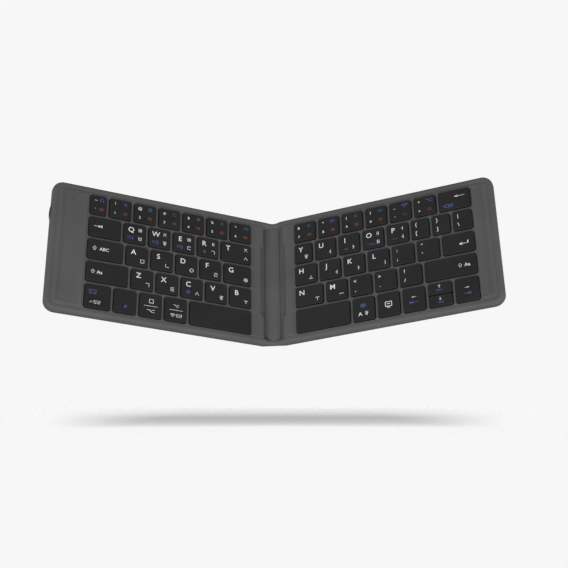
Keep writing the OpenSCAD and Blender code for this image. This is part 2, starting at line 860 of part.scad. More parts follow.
spine_back_skin();
spine_stiffener();
spine_inner_skin();
flex_cable();
crease_skin(LEFT);  // left_crease_skin
crease_skin(RIGHT);  // right_crease_skin
back_skin(LEFT);  // left_back_skin
base_plate(LEFT);  // left_base_plate
membrane(LEFT);  // left_membrane
dome_sheet(LEFT);  // left_dome_sheet
scissors(LEFT);  // left_scissors
key_frame(LEFT);  // left_key_frame
top_skin(LEFT);  // left_top_skin
back_skin(RIGHT);  // right_back_skin
base_plate(RIGHT);  // right_base_plate
membrane(RIGHT);  // right_membrane
dome_sheet(RIGHT);  // right_dome_sheet
scissors(RIGHT);  // right_scissors
key_frame(RIGHT);  // right_key_frame
top_skin(RIGHT);  // right_top_skin
battery_cell();
main_board();
charge_socket();
port_bezel();
indicator_lens();
magnets(LEFT);  // left_magnets
magnets(RIGHT);  // right_magnets
for (name = KEY_NODES) key_set(name);
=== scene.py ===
"""Dresses a pocket keyboard that folds like a book: soft skins, flat keycaps and their marks.

Each half is modelled lying flat, with x = side * (fold offset + u), where u runs outwards from
its fold line, and is then swung up about the fold line by its own tilt. Lengths are metres.
"""

import json
import logging
import math
from collections.abc import Callable, Iterator
from contextlib import contextmanager
from dataclasses import dataclass, field
from enum import Enum

import bmesh
import bpy
from bpy.types import Material, NodeSocket, Object
from mathutils import Matrix, Vector
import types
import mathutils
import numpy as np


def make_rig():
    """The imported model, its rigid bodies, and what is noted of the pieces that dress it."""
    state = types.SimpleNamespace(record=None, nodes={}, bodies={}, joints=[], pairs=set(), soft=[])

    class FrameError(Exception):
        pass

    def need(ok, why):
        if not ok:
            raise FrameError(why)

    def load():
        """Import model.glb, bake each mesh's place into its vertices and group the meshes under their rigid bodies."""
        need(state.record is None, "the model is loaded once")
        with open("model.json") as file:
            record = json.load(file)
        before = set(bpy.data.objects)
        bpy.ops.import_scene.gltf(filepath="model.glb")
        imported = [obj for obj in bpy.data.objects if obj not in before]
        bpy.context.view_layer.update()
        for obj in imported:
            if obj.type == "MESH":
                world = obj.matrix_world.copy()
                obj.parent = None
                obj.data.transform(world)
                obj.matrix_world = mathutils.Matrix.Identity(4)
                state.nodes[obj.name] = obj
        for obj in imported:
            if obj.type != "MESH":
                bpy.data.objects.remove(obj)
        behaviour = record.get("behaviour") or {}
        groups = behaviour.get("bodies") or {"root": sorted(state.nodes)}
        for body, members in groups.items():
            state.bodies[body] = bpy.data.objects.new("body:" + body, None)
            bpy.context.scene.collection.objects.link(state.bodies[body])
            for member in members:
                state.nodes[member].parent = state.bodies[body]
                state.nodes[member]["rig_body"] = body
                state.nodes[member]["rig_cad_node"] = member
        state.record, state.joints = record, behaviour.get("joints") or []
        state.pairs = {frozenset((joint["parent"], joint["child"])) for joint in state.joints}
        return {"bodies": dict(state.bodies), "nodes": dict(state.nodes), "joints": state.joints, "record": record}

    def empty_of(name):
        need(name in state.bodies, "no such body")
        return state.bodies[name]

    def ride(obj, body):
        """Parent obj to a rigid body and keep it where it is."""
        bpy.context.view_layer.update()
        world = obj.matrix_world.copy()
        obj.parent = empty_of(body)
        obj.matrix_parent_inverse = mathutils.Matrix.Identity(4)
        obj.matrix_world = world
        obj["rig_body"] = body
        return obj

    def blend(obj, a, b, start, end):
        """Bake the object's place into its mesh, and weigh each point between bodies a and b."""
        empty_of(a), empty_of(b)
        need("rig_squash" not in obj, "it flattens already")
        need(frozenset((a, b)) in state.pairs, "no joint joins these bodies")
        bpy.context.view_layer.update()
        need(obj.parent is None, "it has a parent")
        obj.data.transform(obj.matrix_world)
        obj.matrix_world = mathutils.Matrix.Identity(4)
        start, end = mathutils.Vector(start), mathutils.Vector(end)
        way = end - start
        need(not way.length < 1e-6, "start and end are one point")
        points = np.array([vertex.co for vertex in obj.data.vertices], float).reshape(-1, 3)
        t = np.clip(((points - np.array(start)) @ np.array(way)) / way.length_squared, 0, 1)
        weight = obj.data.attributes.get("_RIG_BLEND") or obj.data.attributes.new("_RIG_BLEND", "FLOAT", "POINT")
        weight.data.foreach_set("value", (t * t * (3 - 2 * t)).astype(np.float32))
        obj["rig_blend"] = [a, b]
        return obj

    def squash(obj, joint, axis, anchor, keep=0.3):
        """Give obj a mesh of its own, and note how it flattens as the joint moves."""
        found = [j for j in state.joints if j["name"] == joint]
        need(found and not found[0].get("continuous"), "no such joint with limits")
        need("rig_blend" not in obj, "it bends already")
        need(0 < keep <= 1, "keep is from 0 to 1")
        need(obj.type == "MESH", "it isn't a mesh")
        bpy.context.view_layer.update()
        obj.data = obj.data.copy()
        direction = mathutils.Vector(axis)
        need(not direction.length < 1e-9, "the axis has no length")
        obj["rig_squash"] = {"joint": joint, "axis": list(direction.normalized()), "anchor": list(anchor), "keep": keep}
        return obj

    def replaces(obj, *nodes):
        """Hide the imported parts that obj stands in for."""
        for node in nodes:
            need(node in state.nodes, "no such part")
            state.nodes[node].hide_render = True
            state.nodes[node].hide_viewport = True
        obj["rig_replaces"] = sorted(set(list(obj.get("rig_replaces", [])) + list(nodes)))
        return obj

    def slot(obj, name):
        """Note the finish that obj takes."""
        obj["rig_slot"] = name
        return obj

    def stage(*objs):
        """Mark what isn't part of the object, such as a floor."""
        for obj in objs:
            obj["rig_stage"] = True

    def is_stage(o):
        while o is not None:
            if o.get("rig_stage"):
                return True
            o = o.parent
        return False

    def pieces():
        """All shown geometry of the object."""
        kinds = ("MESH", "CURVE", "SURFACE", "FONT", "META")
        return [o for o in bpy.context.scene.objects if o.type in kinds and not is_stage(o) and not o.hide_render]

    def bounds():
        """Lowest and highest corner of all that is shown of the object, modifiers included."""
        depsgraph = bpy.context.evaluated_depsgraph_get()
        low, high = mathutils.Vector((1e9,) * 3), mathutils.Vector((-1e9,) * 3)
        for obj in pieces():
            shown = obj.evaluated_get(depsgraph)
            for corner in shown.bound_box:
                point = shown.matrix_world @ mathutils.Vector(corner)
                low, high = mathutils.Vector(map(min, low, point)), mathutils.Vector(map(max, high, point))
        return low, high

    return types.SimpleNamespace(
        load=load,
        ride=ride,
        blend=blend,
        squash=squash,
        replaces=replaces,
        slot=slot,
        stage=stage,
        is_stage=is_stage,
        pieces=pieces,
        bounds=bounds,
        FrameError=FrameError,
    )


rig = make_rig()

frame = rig.load()
CAD_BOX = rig.bounds()

LOG = logging.getLogger("keyboard")
MM = 0.001
# Closer together than the first counts as the same place, and than the second is merged
NEAR = 0.01 * MM
DOUBLES = 0.004 * MM

Pair = tuple[float, float]
Triple = tuple[float, float, float]
Materials = dict[str, Material]


# ---- Small helpers -------------------------------------------------------------------------


def linear(hex_colour: str) -> tuple[float, float, float, float]:
    """Turns an sRGB hex colour into a linear RGBA value.

    Args:
        hex_colour: The colour as "#rrggbb".

    Returns:
        The linear colour with alpha 1.
    """
    parts = [int(hex_colour[i : i + 2], 16) / 255 for i in (1, 3, 5)]
    red, green, blue = (
        p / 12.92 if p <= 0.04045 else ((p + 0.055) / 1.055) ** 2.4 for p in parts
    )
    return (red, green, blue, 1.0)


def only(obj: Object) -> None:
    """Makes obj the one selected and active object."""
    bpy.ops.object.select_all(action="DESELECT")
    obj.select_set(True)
    bpy.context.view_layer.objects.active = obj


def eased(distance: float, span: Pair) -> float:
    """The share of a span that a distance has come through, eased in and out."""
    share = min(1.0, max(0.0, (distance - span[0]) / (span[1] - span[0])))
    return share * share * (3 - 2 * share)


def place_new(name: str, data: bpy.types.ID) -> Object:
    """Adds a new object with this data to the scene."""
    obj = bpy.data.objects.new(name, data)
    bpy.context.collection.objects.link(obj)
    return obj


def join(name: str, objects: list[Object]) -> Object:
    """Joins objects into one.

    Args:
        name: The name of the joined object.
        objects: The objects, at least one.

    Returns:
        The joined object.
    """
    only(objects[0])
    for other in objects[1:]:
        other.select_set(True)
    if len(objects) > 1:
        bpy.ops.object.join()
    joined = bpy.context.active_object
    joined.name = name
    return joined


class Merge(Enum):
    """How a second body changes a first one; the value is the modifier's own word."""

    CUT = "DIFFERENCE"
    ADD = "UNION"


class Shape:
    """A mesh in the making, which operators shape in edit mode."""

    def __init__(self, obj: Object, name: str) -> None:
        """Takes over a fresh primitive and applies its place and size.

        Args:
            obj: The primitive.
            name: The shape's name.
        """
        self.obj = obj
        obj.name = name
        only(obj)
        bpy.ops.object.transform_apply(location=True, rotation=True, scale=True)

    @classmethod
    def plate(cls, name: str, low: Pair, high: Pair, z: float) -> "Shape":
        """A flat rectangle between two corners at height z.

        Args:
            name: The shape's name.
            low: The corner with the smaller x and y.
            high: The opposite corner.
            z: The height.

        Returns:
            The plate as a single face.
        """
        centre = ((low[0] + high[0]) / 2, (low[1] + high[1]) / 2, z)
        bpy.ops.mesh.primitive_plane_add(size=1, location=centre)
        obj = bpy.context.active_object
        obj.scale = (high[0] - low[0], high[1] - low[1], 1)
        return cls(obj, name)

    @contextmanager
    def editing(self) -> Iterator[None]:
        """Edit mode with nothing selected, left again at the end."""
        only(self.obj)
        bpy.ops.object.mode_set(mode="EDIT")
        bpy.ops.mesh.select_all(action="DESELECT")
        yield
        bpy.ops.object.mode_set(mode="OBJECT")

    def pick_points(self, test: Callable[[Vector], bool]) -> None:
        """Selects the vertices that pass the test, and the edges and faces between them.

        Args:
            test: Says of a place whether it is picked.
        """
        bpy.ops.mesh.select_mode(type="VERT")
        mesh = bmesh.from_edit_mesh(self.obj.data)
        for vertex in mesh.verts:
            vertex.select = test(vertex.co)
        mesh.select_flush(True)
        mesh.select_flush(False)
        bmesh.update_edit_mesh(self.obj.data)

    def pick_edges(self, test: Callable[[bmesh.types.BMEdge], bool]) -> None:
        """Selects only the edges that pass the test.

        Args:
            test: Says of an edge whether it is picked.
        """
        bpy.ops.mesh.select_mode(type="EDGE")
        mesh = bmesh.from_edit_mesh(self.obj.data)
        for edge in mesh.edges:
            edge.select_set(test(edge))
        bmesh.update_edit_mesh(self.obj.data)

    def drop_faces(self, test: Callable[[bmesh.types.BMFace], bool]) -> None:
        """Deletes the faces that pass the test.

        Args:
            test: Says of a face whether it goes.
        """
        bpy.ops.mesh.select_mode(type="FACE")
        mesh = bmesh.from_edit_mesh(self.obj.data)
        for face in mesh.faces:
            face.select_set(test(face))
        bmesh.update_edit_mesh(self.obj.data)
        bpy.ops.mesh.delete(type="FACE")

    def place_picked(self, where: Callable[[Vector], Vector]) -> None:
        """Moves each selected vertex to where() says.

        Args:
            where: Gives the new place for an old one.
        """
        mesh = bmesh.from_edit_mesh(self.obj.data)
        for vertex in mesh.verts:
            if vertex.select:
                vertex.co = where(vertex.co)
        bmesh.update_edit_mesh(self.obj.data)

    def modify(self, kind: str, **settings: object) -> None:
        """Adds a modifier with its settings and applies it.

        Args:
            kind: The modifier's type.
            **settings: Properties to set on it.
        """
        only(self.obj)
        modifier = self.obj.modifiers.new(kind.lower(), kind)
        for key, value in settings.items():
            setattr(modifier, key, value)
        bpy.ops.object.modifier_apply(modifier=modifier.name)

    def combine(self, other: "Shape", how: Merge) -> None:
        """Cuts another shape out of this one, or adds it, and removes the other."""
        self.modify("BOOLEAN", object=other.obj, operation=how.value, solver="EXACT")
        bpy.data.objects.remove(other.obj, do_unlink=True)

    def thicken(self, wall: float) -> None:
        """Gives an open sheet a wall on its inner side."""
        self.modify("SOLIDIFY", thickness=wall, offset=-1.0, use_even_offset=True)

    def mend(self) -> None:
        """Merges doubles and turns every face outwards."""
        with self.editing():
            select_all()
            bpy.ops.mesh.remove_doubles(threshold=DOUBLES)
            bpy.ops.mesh.normals_make_consistent(inside=False)

    def smooth(self, degrees: float = 35) -> None:
        """Shades smooth across edges flatter than the given angle."""
        only(self.obj)
        bpy.ops.object.shade_smooth_by_angle(angle=math.radians(degrees))

    def move(self, matrix: Matrix) -> None:
        """Moves the mesh by a matrix and leaves the object at the origin."""
        only(self.obj)
        self.obj.matrix_world = matrix
        bpy.ops.object.transform_apply(location=True, rotation=True, scale=True)


def select_all() -> None:
    """Selects the whole mesh."""
    bpy.ops.mesh.select_all(action="SELECT")


def extrude_up(rise: float) -> None:
    """Extrudes the selected faces by rise along z."""
    bpy.ops.mesh.extrude_region_move(TRANSFORM_OT_translate={"value": (0, 0, rise)})


def inset(thickness: float, depth: float = 0, **options: bool) -> None:
    """Insets the selected faces and shifts what is left inside by depth along the normal."""
    bpy.ops.mesh.inset(thickness=thickness, depth=depth, use_even_offset=True, **options)


def slice_at(point: Triple, normal: Triple, **options: bool) -> None:
    """Cuts the whole mesh along a plane."""
    select_all()
    bpy.ops.mesh.bisect(plane_co=point, plane_no=normal, **options)


def round_over(radius: float, steps: int) -> None:
    """Rounds the rim of the selected face by a ladder of insets.

    Args:
        radius: The radius of the round.
        steps: The number of insets.
    """
    for i in range(steps):
        a, b = (math.pi / 2 * k / steps for k in (i, i + 1))
        inset(radius * (math.cos(a) - math.cos(b)), radius * (math.sin(b) - math.sin(a)))


def faces_down(face: bmesh.types.BMFace) -> bool:
    """Whether a face looks straight down."""
    return face.normal.z < -0.9


def rounded_plate(
    name: str, centre: Pair, size: Pair, radius: float, z: float, steps: int
) -> Shape:
    """A flat rectangle with rounded corners.

    Args:
        name: The object's name.
        centre: The middle in x and y.
        size: The width along x and the depth along y.
        radius: The corner radius.
        z: The height.
        steps: Segments in each corner.

    Returns:
        The plate as a single face.
    """
    low = (centre[0] - size[0] / 2, centre[1] - size[1] / 2)
    high = (centre[0] + size[0] / 2, centre[1] + size[1] / 2)
    shape = Shape.plate(name, low, high, z)
    with shape.editing():
        select_all()
        bpy.ops.mesh.bevel(offset=radius, segments=steps, affect="VERTICES", clamp_overlap=False)
    return shape


# ---- Materials -----------------------------------------------------------------------------


class Nodes:
    """The node tree of a material or of the world, started from empty."""

    def __init__(self, owner: Material | bpy.types.World, output: str) -> None:
        """Empties the owner's tree and gives it an output of the named kind.

        Args:
            owner: The material or the world.
            output: The type of its output node.
        """
        owner.use_nodes = True
        self.tree = owner.node_tree
        self.tree.nodes.clear()
        self.output = self.add(output, {}, {})

    def add(
        self, kind: str, settings: dict[str, object], inputs: dict[str | int, object]
    ) -> bpy.types.Node:
        """Adds a node.

        Args:
            kind: The node's type.
            settings: Properties to set on it.
            inputs: For each input, a value or the output socket that feeds it.

        Returns:
            The node.
        """
        node = self.tree.nodes.new(kind)
        for key, value in settings.items():
            setattr(node, key, value)
        for key, value in inputs.items():
            if isinstance(value, NodeSocket):
                self.tree.links.new(value, node.inputs[key])
            else:
                node.inputs[key].default_value = value
        return node

    def patches(
        self, place: NodeSocket, width: float, detail: float, tones: tuple[str, str], span: Pair
    ) -> NodeSocket:
        """A colour that drifts between two tones in soft patches.

        Args:
            place: The coordinates.
            width: The width of a patch in metres.
            detail: How many finer layers the patches have.
            tones: The two colours as "#rrggbb".
            span: The part of the noise over which one tone turns into the other.

        Returns:
            The colour.
        """
        inputs = {"Vector": place, "Scale": 1 / width, "Detail": detail}
        noise = self.add("ShaderNodeTexNoise", {}, inputs)
        ramp = self.add("ShaderNodeValToRGB", {}, {"Fac": noise.outputs["Fac"]})
        for stop, share, tone in zip(ramp.color_ramp.elements, span, tones):
            stop.position, stop.color = share, linear(tone)
        return ramp.outputs["Color"]

    def seen(self) -> NodeSocket:
        """1 for the camera, and for what metal mirrors and glass lets through; otherwise 0.

        Returns:
            The share, 0 or 1.
        """
        path = self.add("ShaderNodeLightPath", {}, {}).outputs
        inputs = {0: path["Is Camera Ray"], 1: path["Is Glossy Ray"]}
        mirrored = self.add("ShaderNodeMath", {}, inputs)
        inputs = {0: mirrored.outputs[0], 1: path["Is Transmission Ray"]}
        return self.add("ShaderNodeMath", {"use_clamp": True}, inputs).outputs[0]

    def finish(self, shader: NodeSocket) -> None:
        """Feeds the surface of the output."""
        self.tree.links.new(shader, self.output.inputs["Surface"])


@dataclass(frozen=True)
class Finish:
    """A surface with a faint colour drift and a fine relief.

    Sizes are in millimetres: drift is the width of a colour patch and grain of a bump.
    """

    name: str
    low: str
    high: str
    roughness: float
    drift: float = 18.0
    drift_detail: float = 3.0
    drift_span: Pair = (0.35, 0.65)
    grain: float = 0.35
    relief: float = 0.02
    relief_strength: float = 0.6
    metallic: float = 0.0
    ior: float = 1.46
    coat: float = 0.0
    specular: float = 0.5
    sheen: float = 0.0
    dimpled: bool = False

    def heights(self, nodes: Nodes, place: NodeSocket) -> NodeSocket:
        """The heights of the relief: soft bumps with one finer layer."""
        noise = {"Vector": place, "Scale": 1 / (self.grain * MM), "Detail": 2.0}
        return nodes.add("ShaderNodeTexNoise", {}, noise).outputs["Fac"]

    def material(self) -> Material:
        """Builds the material.

        Returns:
            The material.
        """
        material = bpy.data.materials.new(self.name)
        nodes = Nodes(material, "ShaderNodeOutputMaterial")
        place = nodes.add("ShaderNodeTexCoord", {}, {}).outputs["Object"]
        tones = (self.low, self.high)
        colour = nodes.patches(place, self.drift * MM, self.drift_detail, tones, self.drift_span)
        relief = {
            "Height": self.heights(nodes, place),
            "Distance": self.relief * MM,
            "Strength": self.relief_strength,
        }
        bump = nodes.add("ShaderNodeBump", {"invert": self.dimpled}, relief)
        surface = {
            "Base Color": colour,
            "Roughness": self.roughness,
            "Metallic": self.metallic,
            "IOR": self.ior,
            "Coat Weight": self.coat,
            "Sheen Weight": self.sheen,
            "Specular IOR Level": self.specular,
            "Normal": bump.outputs["Normal"],
        }
        shader = nodes.add("ShaderNodeBsdfPrincipled", {}, surface)
        nodes.finish(shader.outputs["BSDF"])
        return material


@dataclass(frozen=True)
class PebbledFinish(Finish):
    """A surface pressed with a fine pebble grain."""

    smoothness: float = 0.6
    dimpled: bool = True

    def heights(self, nodes: Nodes, place: NodeSocket) -> NodeSocket:
        """The heights of the relief: the distance from the middle of each pebble."""
        settings = {"feature": "SMOOTH_F1"}
        cells = {"Vector": place, "Scale": 1 / (self.grain * MM), "Smoothness": self.smoothness}
        return nodes.add("ShaderNodeTexVoronoi", settings, cells).outputs["Distance"]


FINISHES: dict[str, Finish] = {
    # Moulded ABS frame, seen only in the slots beside the keys: nearly black and half matt
    "frame_plastic": Finish("moulded_abs", "#1c1c1c", "#212121", 0.6, specular=0.3),
    # Moulded ABS with a fine spark-eroded texture: dark, with a broad and dull highlight
    "keycap": Finish(
        "textured_abs", "#202020", "#242424", 0.55, grain=0.18, relief=0.012, specular=0.1
    ),
    # Rolled steel sheet: grey metal, dull from the mill
    "base_plate": Finish(
        "rolled_steel", "#8d8f92", "#9a9c9f", 0.35, grain=0.2, metallic=1.0, ior=1.5
    ),
    # Printed polyester film: straw-coloured and almost without relief
    "membrane": Finish("polyester_film", "#b9b49a", "#c4bfa6", 0.3, relief=0.005),
    # Moulded silicone rubber: milky and matt
    "dome_rubber": Finish("silicone_rubber", "#d2d2cc", "#dadad4", 0.6),
    # Moulded acetal: off-white, slippery and slightly waxy
    "scissor_plastic": Finish("moulded_acetal", "#deded8", "#e8e8e2", 0.38),
    # Nickel plate: a bright, hard reflection
    "magnet": Finish("nickel_plate", "#b4b5b8", "#c0c1c4", 0.22, metallic=1.0, ior=1.5),
    # Pressed fibre board: brown and dry, with a coarse fleck
    "stiffener": Finish(
        "pressed_fibre", "#7c7060", "#8a7e6c", 0.8, drift=2.0, grain=0.6, relief=0.05
    ),
    # Polyimide film with copper under it: smooth amber
    "flex_cable": Finish("polyimide_film", "#a8641e", "#b97228", 0.3),
    # Laminated pouch foil: soft silver, slightly rumpled
    "battery": Finish(
        "pouch_foil", "#a9abae", "#b6b8bb", 0.3, grain=0.8, metallic=0.9, ior=1.5
    ),
    # Solder mask over glass fibre: deep green, with the weave just felt in it
    "board": Finish("solder_mask", "#12402a", "#174c33", 0.35, grain=0.5),
    # Plated steel shell: bright and even
    "socket": Finish("plated_steel", "#a2a3a6", "#b0b1b4", 0.25, metallic=1.0, ior=1.5),
    # Moulded nylon: near black and plain
    "bezel": Finish("moulded_nylon", "#202020", "#262626", 0.5),
    # Smoked acrylic: dark, with a sharp highlight on its polished face
    "lens": Finish("smoked_acrylic", "#303034", "#38383c", 0.12, coat=0.5),
    # Polyurethane leather: matt dark grey, a little paler where it is worn
    "soft_skin": PebbledFinish(
        "polyurethane_leather",
        "#4e4e4e",
        "#545454",
        0.62,
        drift=26.0,
        drift_detail=4.0,
        drift_span=(0.3, 0.7),
        grain=0.55,
        relief=0.03,
        relief_strength=0.5,
        ior=1.48,
        specular=0.15,
        sheen=0.03,
    ),
}


@dataclass(frozen=True)
class InkFinish:
    """Pad-printed ink, slightly chalky, with a faint mottle a quarter of a millimetre wide."""

    name: str
    low: str
    high: str

    def material(self) -> Material:
        """Builds the material."""
        look = {"drift": 0.25, "grain": 0.12, "relief": 0.004}
        return Finish(self.name, self.low, self.high, 0.6, **look).material()


class Ink(Enum):
    """The inks on the keys."""

    WHITE = InkFinish("white_ink", "#dcdcdc", "#e8e8e8")
    BLUE = InkFinish("blue_ink", "#3d5187", "#465b93")
    RED = InkFinish("red_ink", "#72322d", "#7c3832")


def dress(obj: Object, materials: Materials, slot: str) -> None:
    """Gives a piece its one material and names the record's slot that it takes it from."""
    obj.data.materials.clear()
    obj.data.materials.append(materials[slot])
    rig.slot(obj, slot)


# ---- Layout --------------------------------------------------------------------------------


class Side(Enum):
    """A half of the keyboard; the value is the sign of its x."""

    LEFT = -1
    RIGHT = 1


@dataclass(frozen=True)
class Key:
    """A key of a row: its name, its width in pitches (0 fills the row) and its node."""

    name: str
    width: float
    node: str


def letter_keys(letters: str) -> list[Key]:
    """Keys for a run of letters, the last of which fills the row up to the fold."""
    return [Key(c, 0 if c == letters[-1] else 1, f"key_{c}") for c in letters]


def named_keys(node: str, *sizes: tuple[str, float]) -> list[Key]:
    """Keys of one node from their names and widths."""
    return [Key(name, width, node) for name, width in sizes]


LEFT_ROWS: list[list[Key]] = [
    named_keys(
        "number_keys_left", ("grave", 0.76), *((digit, 1) for digit in "12345"), ("6", 0)
    ),
    named_keys("left_modifier_keys", ("tab", 1.38)) + letter_keys("qwert"),
    named_keys("left_modifier_keys", ("caps", 1.51)) + letter_keys("asdfg"),
    named_keys("left_modifier_keys", ("left_shift", 1.75)) + letter_keys("zxcvb"),
    named_keys(
        "left_modifier_keys", ("control", 1.12), ("function", 1), ("option", 1), ("alternate", 1)
    )
    + named_keys("space_key_left", ("space", 0)),
]
RIGHT_ROWS: list[list[Key]] = [
    named_keys("right_modifier_keys", ("backspace", 1.37))
    + named_keys("number_keys_right", *((digit, 1) for digit in "=-098"), ("7", 0)),
    named_keys("punctuation_keys", ("\\", 0.87), ("]", 0.835), ("[", 0.835))
    + letter_keys("poiuy"),
    named_keys("right_modifier_keys", ("enter", 1.37))
    + named_keys("punctuation_keys", ("'", 1), (";", 1))
    + letter_keys("lkjh"),
    named_keys("right_modifier_keys", ("right_shift", 2.13))
    + named_keys("punctuation_keys", ("/", 1), (".", 1), (",", 1))
    + letter_keys("mn"),
    named_keys(
        "right_modifier_keys",
        ("end", 1.03),
        ("arrows", 1.04),
        ("home", 1),
        ("screen", 1),
        ("language", 1),
    )
    + named_keys("space_key_right", ("space", 0)),
]


@dataclass(frozen=True)
class Cell:
    """Where a keycap stands on a flat half: its key, the middle and size of its footprint."""

    key: Key
    x: float
    y: float
    width: float
    depth: float


@dataclass(frozen=True)
class Half:
    """The sizes of one half, in metres, and its place in the frame."""

    side: Side
    rows: list[list[Key]] = field(repr=False)
    keys_outer: float
    keys_inner: float
    panel_gap: float
    floor_edge: float
    crest_end: float
    crest_middle: float
    fold_offset: float = 8.2 * MM
    fold_height: float = 0.8 * MM
    length: float = 153.6 * MM
    depth: float = 97.3 * MM
    thickness: float = 6.5 * MM
    corner_radius: float = 7.8 * MM
    corner_steps: int = 10
    upper_round: float = 2 * MM
    lower_round: float = 1 * MM
    seam: float = 2.6 * MM
    key_pitch: float = 17.55 * MM
    row_pitch: float = 17.1 * MM
    column_gap: float = 2.25 * MM
    row_gap: float = 2.5 * MM
    last_row: float = 17.1 * MM
    far_border: float = 7 * MM
    window_clearance: float = 0.42 * MM
    key_corner: float = 1.3 * MM
    cap_top: float = 8 * MM
    cap_height: float = 3.4 * MM
    cap_dish: float = 0.03 * MM
    panel_inset: float = 8 * MM
    panel_border: float = 6.8 * MM
    panel_sunk: float = 0.4 * MM

    @property
    def sign(self) -> int:
        """The sign of x on this half."""
        return self.side.value

    @property
    def word(self) -> str:
        """The half's name in node and piece names."""
        return self.side.name.lower()

    @property
    def body(self) -> str:
        """The CAD body of this half."""
        return f"{self.word}_half"

    @property
    def tilt(self) -> float:
        """How far the half is swung up at rest, read from the axis that its keys travel along."""
        joint = next(j for j in frame["joints"] if j["name"] == f"press_space_key_{self.word}")
        return math.asin(self.sign * joint["axis"][0])

    @property
    def swing(self) -> Matrix:
        """The matrix from the flat half to its place at rest."""
        hinge = Vector((self.sign * self.fold_offset, 0, self.fold_height))
        turn = Matrix.Rotation(-self.sign * self.tilt, 4, "Y")
        return Matrix.Translation(hinge) @ turn @ Matrix.Translation(-hinge)

    def x(self, u: float) -> float:
        """The x of a point at distance u outwards from the fold line."""
        return self.sign * (self.fold_offset + u)

    def u(self, x: float) -> float:
        """The distance outwards from the fold line of a point at x."""
        return self.sign * x - self.fold_offset

    def raised(self, u: float, z: float) -> Pair:
        """The |x| and z at rest of a point at u and height z on the flat half."""
        point = self.swing @ Vector((self.x(u), 0, z))
        return self.sign * point.x, point.z

    def flat(self, x: float, z: float) -> Pair:
        """The (u, height) on the flat half of a point of the resting frame at |x| and z."""
        dx, dz = x - self.fold_offset, z - self.fold_height
        c, s = math.cos(self.tilt), math.sin(self.tilt)
        return dx * c + dz * s, self.fold_height - dx * s + dz * c

    def cells(self) -> Iterator[Cell]:
        """Every keycap's place, row by row from the far edge, from the outer side inwards.

        Returns:
            Each cell in turn.
        """
        for i, row in enumerate(self.rows):
            far = self.depth / 2 - self.far_border - i * self.row_pitch
            last = i == len(self.rows) - 1
            depth = self.last_row if last else self.row_pitch - self.row_gap
            outer = self.keys_outer
            for key in row:
                inner = outer - key.width * self.key_pitch if key.width else self.keys_inner
                width = outer - inner - self.column_gap
                yield Cell(key, self.x((outer + inner) / 2), far - depth / 2, width, depth)
                outer = inner

    def sheet(self, name: str, overhang: float, z: float) -> Shape:
        """A flat sheet over the half, with its outer corners rounded.

        Args:
            name: The object's name.
            overhang: How far the sheet runs on past the fold line.
            z: Its height.

        Returns:
            The sheet as a single face.
        """
        inner, outer = self.x(-overhang), self.x(self.length)
        low = (min(inner, outer), -self.depth / 2)
        high = (max(inner, outer), self.depth / 2)
        sheet = Shape.plate(name, low, high, z)
        with sheet.editing():
            sheet.pick_points(lambda p: abs(p.x - outer) < MM)
            bpy.ops.mesh.bevel(
                offset=self.corner_radius, segments=self.corner_steps, affect="VERTICES"
            )
        return sheet


LEFT = Half(
    Side.LEFT,
    LEFT_ROWS,
    keys_outer=128.8 * MM,
    keys_inner=9.95 * MM,
    panel_gap=2.3 * MM,
    floor_edge=6.5 * MM,
    crest_end=1.1 * MM,
    crest_middle=2.9 * MM,
)
RIGHT = Half(
    Side.RIGHT,
    RIGHT_ROWS,
    keys_outer=138.9 * MM,
    keys_inner=8.9 * MM,
    panel_gap=0.75 * MM,
    floor_edge=4.6 * MM,
    crest_end=0.1 * MM,
    crest_middle=1.9 * MM,
)


# ---- Spine ---------------------------------------------------------------------------------


@dataclass
class Spine:
    """The flat strip of leather between the halves and the cover on its back."""

    edges: Pair = (-LEFT.floor_edge, RIGHT.floor_edge)
    edge_gap: float = 0.1 * MM
    ditch: float = 0.5 * MM
    ditch_steps: int = 6
    cover_half: float = 8.0 * MM
    cover_round: float = 0.5 * MM
    half_length: float = 48.25 * MM
    floor: float = 2.85 * MM
    seam: float = 0.9 * MM
    wall: float = 0.6 * MM

    def inner(self) -> Shape:
        """The floor between the creases, which turns down into them and at both ends.

        Returns:
            The finished strip.
        """
        end = self.half_length - self.wall
        low = (self.edges[0] + self.edge_gap, -end)
        high = (self.edges[1] - self.edge_gap, end)
        strip = Shape.plate("spine_floor_skin", low, high, self.seam)
        with strip.editing():
            select_all()
            extrude_up(self.floor - self.ditch - self.seam)
            round_over(self.ditch, self.ditch_steps)
            strip.drop_faces(faces_down)
        strip.thicken(self.wall)
        strip.smooth()
        return strip

    def cover(self) -> Shape:
        """The back of the spine, with upturned ends.

        Returns:
            The finished cover.
        """
        low, high = (-self.cover_half, -self.half_length), (self.cover_half, self.half_length)
        cover = Shape.plate("spine_cover", low, high, self.seam - self.edge_gap)
        with cover.editing():
            select_all()
            extrude_up(self.edge_gap - self.seam)
            cover.pick_edges(
                lambda e: all(v.co.z < NEAR for v in e.verts)
                and abs(e.verts[0].co.y - e.verts[1].co.y) < NEAR
            )
            bpy.ops.mesh.bevel(offset=self.cover_round, segments=4, affect="EDGES")
        cover.mend()
        cover.smooth()
        return cover

    def make(self, materials: Materials) -> Iterator[Object]:
        """Builds and dresses both pieces, which stay with the spine.

        Args:
            materials: The materials by the name of their slot.

        Returns:
            Each finished piece in turn.
        """
        pieces = ((self.inner(), "spine_inner_skin"), (self.cover(), "spine_back_skin"))
        for shape, node in pieces:
            dress(shape.obj, materials, "soft_skin")
            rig.replaces(shape.obj, node)
            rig.ride(shape.obj, "spine")
            yield shape.obj


# ---- Skins ---------------------------------------------------------------------------------


